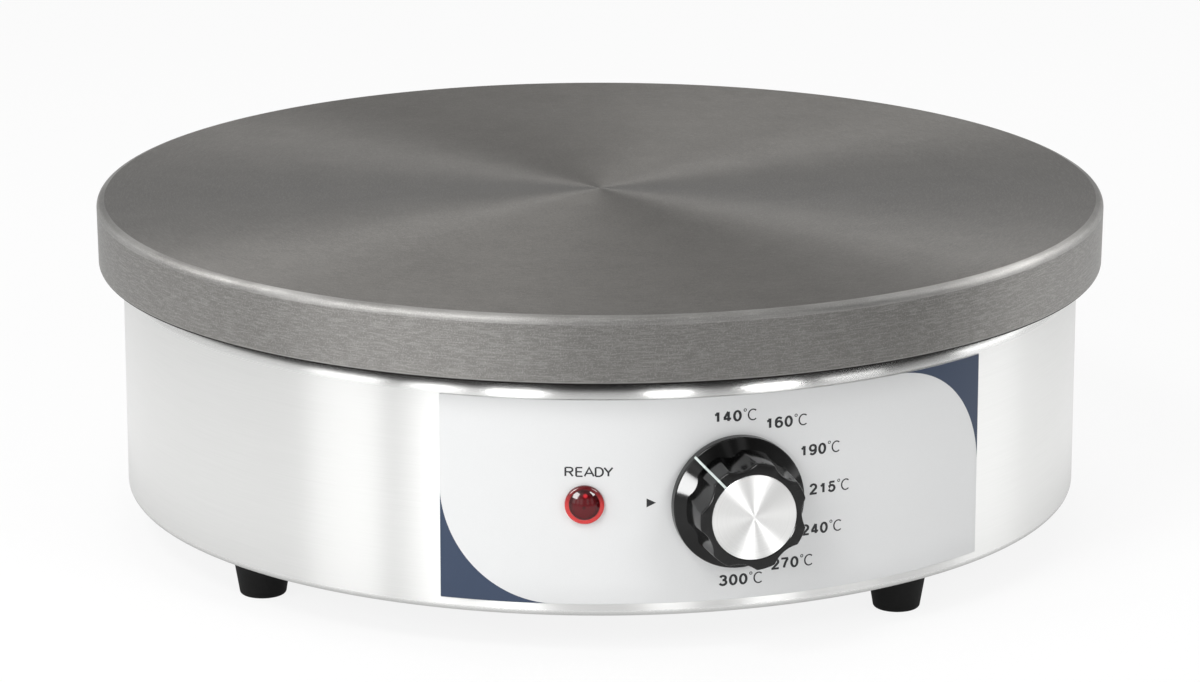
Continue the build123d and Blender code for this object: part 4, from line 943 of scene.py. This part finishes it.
def around_knob(rows, worn=None):
    """Angle, radius and height rows about the knob's axis as a patch of points."""
    angle, radius, height = rows[..., 0], rows[..., 1], rows[..., 2]
    points = np.stack(
        [radius * np.cos(angle), -(KNOB_BACK + height), KNOB_Z + radius * np.sin(angle)],
        axis=-1,
    )
    steps = np.linalg.norm(np.diff(points, axis=0, prepend=points[:1]), axis=2)
    uv = np.stack([np.cumsum(steps, axis=0), angle * 20], axis=-1)
    return points, uv, mask_over(worn, angle.shape)


def knob():
    """Skirt and grip in one closed surface: the back with its hub, the rim, the straight
    cone that runs in to the grip's foot, the fluted grip with an eased front edge, and
    the seat of the cap."""
    ease, hub, hub_back, web, wall, seat_edge = 0.7, 8.0, 2.0, 3.0, 21.3, 16.05
    face = KNOB_LENGTH - ease
    flat = np.linspace(SKIRT_FRONT, face, 13)
    turn = np.linspace(0, pi / 2, 7)[1:]
    plain = np.zeros(len(flat))
    heights = np.concatenate([flat, face + ease * np.sin(turn)])
    grip = grip_rows(heights, np.concatenate([plain, ease * (1 - np.cos(turn))]))
    worn = np.concatenate([plain, np.ones(len(turn))])
    root = grip[0]
    slope = (SKIRT_FRONT - RIM_FRONT) / (RIM_RADIUS - GRIP_RADIUS)
    root[:, 2] = RIM_FRONT + slope * (RIM_RADIUS - root[:, 1])
    back, back_worn = rounded(
        [
            (0, hub_back),
            (hub, hub_back),
            (hub, web),
            (wall, web),
            (wall, 0),
            (RIM_RADIUS, 0),
            (RIM_RADIUS, RIM_FRONT),
            (GRIP_RADIUS, SKIRT_FRONT),
        ],
        [0, 0, 0, 0, 0.15, 0.3, 0.8, 0],
        7,
    )
    skirt = np.repeat(root[None], len(back) - 1, axis=0)
    skirt[..., 1:] = back[:-1, None]
    cone = skirt[-1] + np.linspace(0, 1, 4)[:, None, None] * (root - skirt[-1])
    seat = np.repeat(grip[-1:], 5, axis=0)
    seat[1:, :, 1] = np.array([16.3, seat_edge, seat_edge, 0])[:, None]
    seat[:3, :, 2] = np.array([KNOB_LENGTH, KNOB_LENGTH, KNOB_LENGTH - 0.2])[:, None]
    seat[3:, :, 2] = CAP_BACK
    patches = [
        around_knob(skirt, back_worn[:-1]),
        around_knob(cone),
        around_knob(grip, worn),
        around_knob(seat),
    ]
    dress("knob", patches, "knob_black", "knob", sharp=32)


def knob_cap():
    """The spun disc in the knob's face: a flat turned about the knob's axis, with a
    bright chamfer at its edge."""
    chamfer = 0.1
    profile, worn = rounded(
        [
            (0, CAP_FRONT),
            (4, CAP_FRONT),
            (CAP_RADIUS - chamfer, CAP_FRONT),
            (CAP_RADIUS, CAP_FRONT - chamfer),
            (CAP_RADIUS, CAP_BACK),
            (0, CAP_BACK),
        ],
        [0, 0, 0.04, 0.04, 0, 0],
        3,
        0.03,
    )
    disc = turned(profile, 180, KNOB_CENTRE, KNOB_AXES, worn=worn)
    dress("knob_cap", [disc], "knob_aluminium", "knob")


def knob_pointer():
    """The white line: a narrow strip carried along the knob's outline at the pointer's
    angle, from the cap over the land and down the skirt, a little proud of it."""
    path, _ = rounded(
        [
            (16.35, KNOB_LENGTH),
            (20.3, KNOB_LENGTH),
            (GRIP_RADIUS, SKIRT_FRONT),
            (RIM_RADIUS, RIM_FRONT),
            (RIM_RADIUS, 3.1),
        ],
        [0, 0.7, 0.4, 0.8, 0],
        6,
    )
    tangent = np.gradient(path, axis=0)
    tangent /= np.linalg.norm(tangent, axis=1)[:, None]
    normal = np.stack([-tangent[:, 1], tangent[:, 0]], axis=1)
    half, crown, sunk, eased, proud = 0.45, 0.4, -0.3, 0.03, 0.06
    across = np.array([-half, -half, -crown, crown, half, half, -half])
    lifts = np.array([sunk, eased, proud, proud, eased, sunk, sunk])
    outline = path[:, None, :] + lifts[None, :, None] * normal[:, None, :]
    side = np.broadcast_to(across, outline.shape[:2])
    c, s = cos(POINTER_ANGLE), sin(POINTER_ANGLE)
    points = np.stack(
        [
            outline[..., 0] * c - side * s,
            -(KNOB_BACK + outline[..., 1]),
            KNOB_Z + outline[..., 0] * s + side * c,
        ],
        axis=-1,
    )
    along = np.repeat(run_length(path)[:, None], len(across), axis=1)
    patches = [(points, np.stack([along, side], axis=-1), np.zeros(side.shape))]
    for end in (points[0], points[-1]):
        lid = np.stack([end[:3], end[5:2:-1]])
        patches.append((lid, np.zeros((2, 3, 2)), np.zeros((2, 3))))
    dress("knob_pointer", patches, "pointer_white", "knob", sharp=50)


# Lamp and feet

def lamp_lens():
    """The lens: a round flange with a rolled edge and a low dome, hollow behind, turned
    about an axis that stands out from the panel."""
    base, sag, flange, radius, hollow, gap = 5.85, 2.6, 2.0, 7.3, 4.3, 0.02
    bend = (base ** 2 + sag ** 2) / (2 * sag)
    turn = np.linspace(0, np.arcsin(base / bend), 17)
    dome = np.stack([bend * np.sin(turn), flange + sag - bend * (1 - np.cos(turn))], axis=1)
    back, _ = rounded(
        [
            (5.95, flange),
            (radius, flange),
            (radius, gap),
            (hollow, gap),
            (hollow, 1.4),
            (2.4, 2.7),
            (0, 3.1),
        ],
        [0, 1.15, 0.1, 0, 0.8, 2.0, 0],
        6,
        0.04,
    )
    outer = np.concatenate([dome, back])
    outer[:, 1] += PANEL_OUTER
    lens = turned(outer, 96, *facing_out(LAMP_ARC, LAMP_Z))
    dress("lamp_lens", [lens], "lens_red", sharp=45)


def feet():
    """Rubber feet: a tapered section with a rounded foot edge, a small step under the
    base and a shallow ring moulded into the sole."""
    top, sole, dish, ring, depth = 11.2, 8.8, 5.6, 5.2, 0.7
    profile, worn = rounded(
        [(0, FOOT_TOP), (top, FOOT_TOP), (sole, 0), (dish, 0), (ring, depth), (0, depth)],
        [0, 0.4, 1.3, 0.3, 0.3, 0],
        6,
        0.08,
    )
    for number, degrees in enumerate((-154.1, -64.1, 25.9, 115.9), start=1):
        angle = radians(degrees)
        centre = (FOOT_CIRCLE * cos(angle), FOOT_CIRCLE * sin(angle), 0)
        foot = turned(profile, 64, centre, worn=worn)
        dress(f"foot_{number}", [foot], "rubber")


griddle_plate()
housing_drum()
control_panel()
corner_prints()
dial_numbers()
ready_word()
off_mark()
knob()
knob_cap()
knob_pointer()
lamp_lens()
feet()


# Camera and light

def toward(azimuth, elevation):
    """Unit direction at an azimuth, from -Y towards +X, and an elevation, in degrees."""
    azimuth, elevation = radians(azimuth), radians(elevation)
    return (
        sin(azimuth) * cos(elevation),
        -cos(azimuth) * cos(elevation),
        sin(elevation),
    )


def aimed(name, data, way, distance, middle):
    """A lamp or camera at a distance from a point on the Z axis, turned to look at it."""
    holder = bpy.data.objects.new(name, data)
    bpy.context.scene.collection.objects.link(holder)
    way = Vector(way).normalized()
    holder.location = Vector((0, 0, middle)) + way * distance
    holder.rotation_mode = "QUATERNION"
    holder.rotation_quaternion = (-way).to_track_quat("-Z", "Y")
    return holder


def camera():
    """A long lens at the right distance, a little above and to the left of the panel."""
    made = bpy.data.cameras.new("camera")
    made.lens = 149.2
    made.sensor_width = 36.0
    made.clip_start, made.clip_end = 0.05, 50.0
    distance, middle = 2.0, 0.0692
    holder = aimed("camera", made, toward(-15.2, 15.24), distance, middle)
    bpy.context.scene.camera = holder


def softbox(name, way, width, height, power, mirrored=True):
    """A lamp that looks at the appliance from a direction. Some aren't mirrored
    themselves, because the surroundings already show their white screens."""
    lamp = bpy.data.lights.new(name, "AREA")
    lamp.shape = "RECTANGLE"
    lamp.size, lamp.size_y = width, height
    lamp.energy = power
    distance, middle = 2.2, 0.08
    holder = aimed(name, lamp, way, distance, middle)
    holder.visible_glossy = mirrored
    return holder


def pieces_in(name, nodes):
    """A collection of the pieces that stand for some nodes."""
    made = bpy.data.collections.new(name)
    for node in nodes:
        made.objects.link(bpy.data.objects[f"{node}_dressed"])
    return made


# Lamps for one piece alone: name, node, azimuth, elevation, width, height, power
GLINTS = (
    ("knob_glint", "knob", -46, 8, 0.36, 0.75, 26.0),
    ("cap_glint_left", "knob_cap", -35, 43, 0.82, 0.82, 40.0),
    ("cap_glint_right", "knob_cap", 28, 30, 0.74, 0.74, 24.0),
    ("lens_glint_left", "lamp_lens", -74, 37, 1.15, 1.15, 85.0),
    ("lens_glint_right", "lamp_lens", 54, 48, 0.95, 0.95, 60.0),
    ("drum_glint_side", "housing_drum", -52, 14, 0.26, 0.80, 0.8),
    ("drum_glint_left", "housing_drum", -34, 14, 0.42, 0.80, 3.4),
    ("drum_glint_middle", "housing_drum", 0, 14, 0.36, 0.80, 2.5),
    ("drum_glint_right", "housing_drum", 24, 18, 0.43, 0.70, 4.8),
    ("plate_key", "griddle_plate", -60, 48, 1.60, 1.60, 17.0),
    ("plate_glint_left", "griddle_plate", -134, 42, 0.42, 0.42, 16.5),
    ("plate_glint_right", "griddle_plate", 115, 36, 0.42, 0.42, 9.5),
    ("drum_glint_far", "housing_drum", 44, 16, 0.60, 0.80, 2.1),
)


def lamps():
    """Soft lamps all round, then those for one piece alone. These make highlights and no
    plain light, apart from the plate's own key. The key on the left spares the lens and
    the plate, which have theirs."""
    key = softbox("key_left", toward(-47, 50), 0.60, 0.60, 15.0)
    softbox("key_right", toward(28, 30), 0.60, 0.60, 9.0, mirrored=False)
    softbox("fill_left", toward(-43, 24), 0.85, 0.85, 12.0, mirrored=False)
    softbox("screen_left", toward(-76, 18), 0.70, 0.70, 9.0, mirrored=False)
    softbox("screen_right", toward(90, 18), 0.75, 0.75, 4.0, mirrored=False)
    softbox("overhead", (0.1, 0.15, 1.0), 1.2, 1.2, 10.0)
    for name, node, azimuth, elevation, width, height, power in GLINTS:
        holder = softbox(name, toward(azimuth, elevation), width, height, power)
        holder.visible_diffuse = name == "plate_key"
        holder.light_linking.receiver_collection = pieces_in(name, [node])
    spared = pieces_in("spared by the key", ["lamp_lens", "griddle_plate"])
    for entry in spared.collection_objects:
        entry.light_linking.link_state = "EXCLUDE"
    key.light_linking.receiver_collection = spared


# Level of the studio's screens, at azimuths in degrees from -Y towards +X
SCREENS = (
    (-180, 0.72), (-150, 0.78), (-89, 0.75), (-84, 1.95), (-69, 2.00), (-66, 0.35),
    (-63, 0.35), (-60, 1.70), (-48, 1.60), (-44, 0.25), (-41, 1.50), (-29, 1.40),
    (-25, 0.55), (-6, 0.50), (-3, 1.20), (5, 1.20), (9, 0.40), (18, 0.40), (22, 1.00),
    (31, 1.00), (36, 0.12), (60, 0.22), (76, 0.40), (80, 1.88), (98, 1.80),
    (103, 1.15), (122, 0.88), (150, 0.70), (180, 0.72),
)
HOOD_SHADE, OVERHEAD_LEVEL, PLAIN_LEVEL = -0.92, 0.55, 0.42


def studio():
    """White surroundings. Metal and gloss see a ring of white and dimmer screens, which
    a ramp reads at a direction's azimuth. A hood dims the ones high in front, and they
    fade to a plain level overhead."""
    world = bpy.data.worlds.new("studio")
    bpy.context.scene.world = world
    world.use_nodes = True
    tree = world.node_tree
    tree.nodes.clear()
    x, y, z = parts_of(tree, wire(tree, "TexCoord").outputs["Generated"])
    turn = from_ahead(tree, x, y)
    ramp = wire(tree, "ValToRGB", {0: summed(tree, 0.5, (turn, 0.5 / pi))})
    bands = ramp.color_ramp
    for _ in range(len(SCREENS) - len(bands.elements)):
        bands.elements.new(0.5)
    for band, (azimuth, _) in zip(bands.elements, SCREENS):
        band.position = azimuth / 360 + 0.5
    for band, (_, level) in zip(bands.elements, SCREENS):
        band.color = (level, level, level, 1)
    screens = ramp.outputs[0]
    ahead = spread(tree, times(tree, y, -1.0), 0.45, 0.75)
    hood = times(tree, ahead, spread(tree, z, 0.42, 0.60))
    screens = summed(tree, screens, (hood, times(tree, screens, HOOD_SHADE)))
    above = spread(tree, z, 0.82, 0.98)
    screens = times(tree, screens, calc(tree, "SUBTRACT", 1.0, above))
    screens = summed(tree, screens, (above, OVERHEAD_LEVEL))
    white, shiny = seen_by(tree)
    over_plain = calc(tree, "SUBTRACT", screens, PLAIN_LEVEL)
    level = summed(tree, PLAIN_LEVEL, (shiny, over_plain))
    level = times(tree, level, calc(tree, "SUBTRACT", 1.0, white))
    level = calc(tree, "ADD", level, white)
    glow = wire(tree, "Background", {"Color": (1, 1, 1, 1), "Strength": level})
    wire(tree, "OutputWorld", {"Surface": glow.outputs[0]})


CAMERA_SHARE, REFLECTED_SHARE = 0.86, 0.75


def ground():
    """A pale table far wider than the appliance. What looks at it straight sees mostly
    white, with a share of its lit surface for the shadow. Reflections see it as painted
    light: white near the appliance, a painted shadow close under it, and painted shade
    farther out of the lamps' reach and in front. From below it is clear, so that the
    base shows."""
    mesh = bpy.data.meshes.new("table")
    side = 6.0
    corners = [(-side, -side, 0), (side, -side, 0), (side, side, 0), (-side, side, 0)]
    mesh.from_pydata(corners, [], [(0, 1, 2, 3)])
    made, tree = new_finish("table white", 0.8, Specular_IOR_Level=0.2)
    shader = tree.nodes["Principled BSDF"]
    give(tree, shader, {"Base Color": (0.9, 0.9, 0.9, 1)})
    place = object_place(tree)
    reach = wire(tree, "VectorMath", {0: place}, operation="LENGTH").outputs["Value"]
    x, y, _ = parts_of(tree, place)
    turn = from_ahead(tree, x, y)
    left = spread(tree, turn, radians(-38), radians(-14))
    front = times(tree, left, spread(tree, turn, radians(58), radians(84), 1.0, 0.0))
    front = times(tree, front, spread(tree, reach, 0.42, 0.62, 0.0, 0.55))
    # Painted shade on the table for reflections: dimmer farther out and in front, and a painted
    # shadow close under the appliance.
    painted_floor_shade = spread(tree, reach, 0.32, 1.0, 1.0, 0.35)
    painted_floor_shade = times(tree, painted_floor_shade, calc(tree, "SUBTRACT", 1.0, front))
    painted_floor_shade = times(tree, painted_floor_shade, spread(tree, reach, 0.18, 0.27, 0.45, 1.0))
    straight, shiny = seen_by(tree)
    level = summed(tree, 1.0, (shiny, calc(tree, "SUBTRACT", painted_floor_shade, 1.0)))
    glow = wire(tree, "Emission", {"Color": (1, 1, 1, 1), "Strength": level})
    reflected = times(tree, shiny, REFLECTED_SHARE)
    share = calc(tree, "MAXIMUM", times(tree, straight, CAMERA_SHARE), reflected)
    both = wire(tree, "MixShader", {0: share, 1: shader.outputs[0], 2: glow.outputs[0]})
    clear = wire(tree, "BsdfTransparent")
    behind = wire(tree, "NewGeometry").outputs["Backfacing"]
    both = wire(tree, "MixShader", {0: behind, 1: both.outputs[0], 2: clear.outputs[0]})
    give(tree, tree.nodes["Material Output"], {"Surface": both.outputs[0]})
    mesh.materials.append(made)
    table = bpy.data.objects.new("table", mesh)
    bpy.context.scene.collection.objects.link(table)


camera()
lamps()
studio()
ground()

bpy.context.scene.view_settings.view_transform = "Standard"
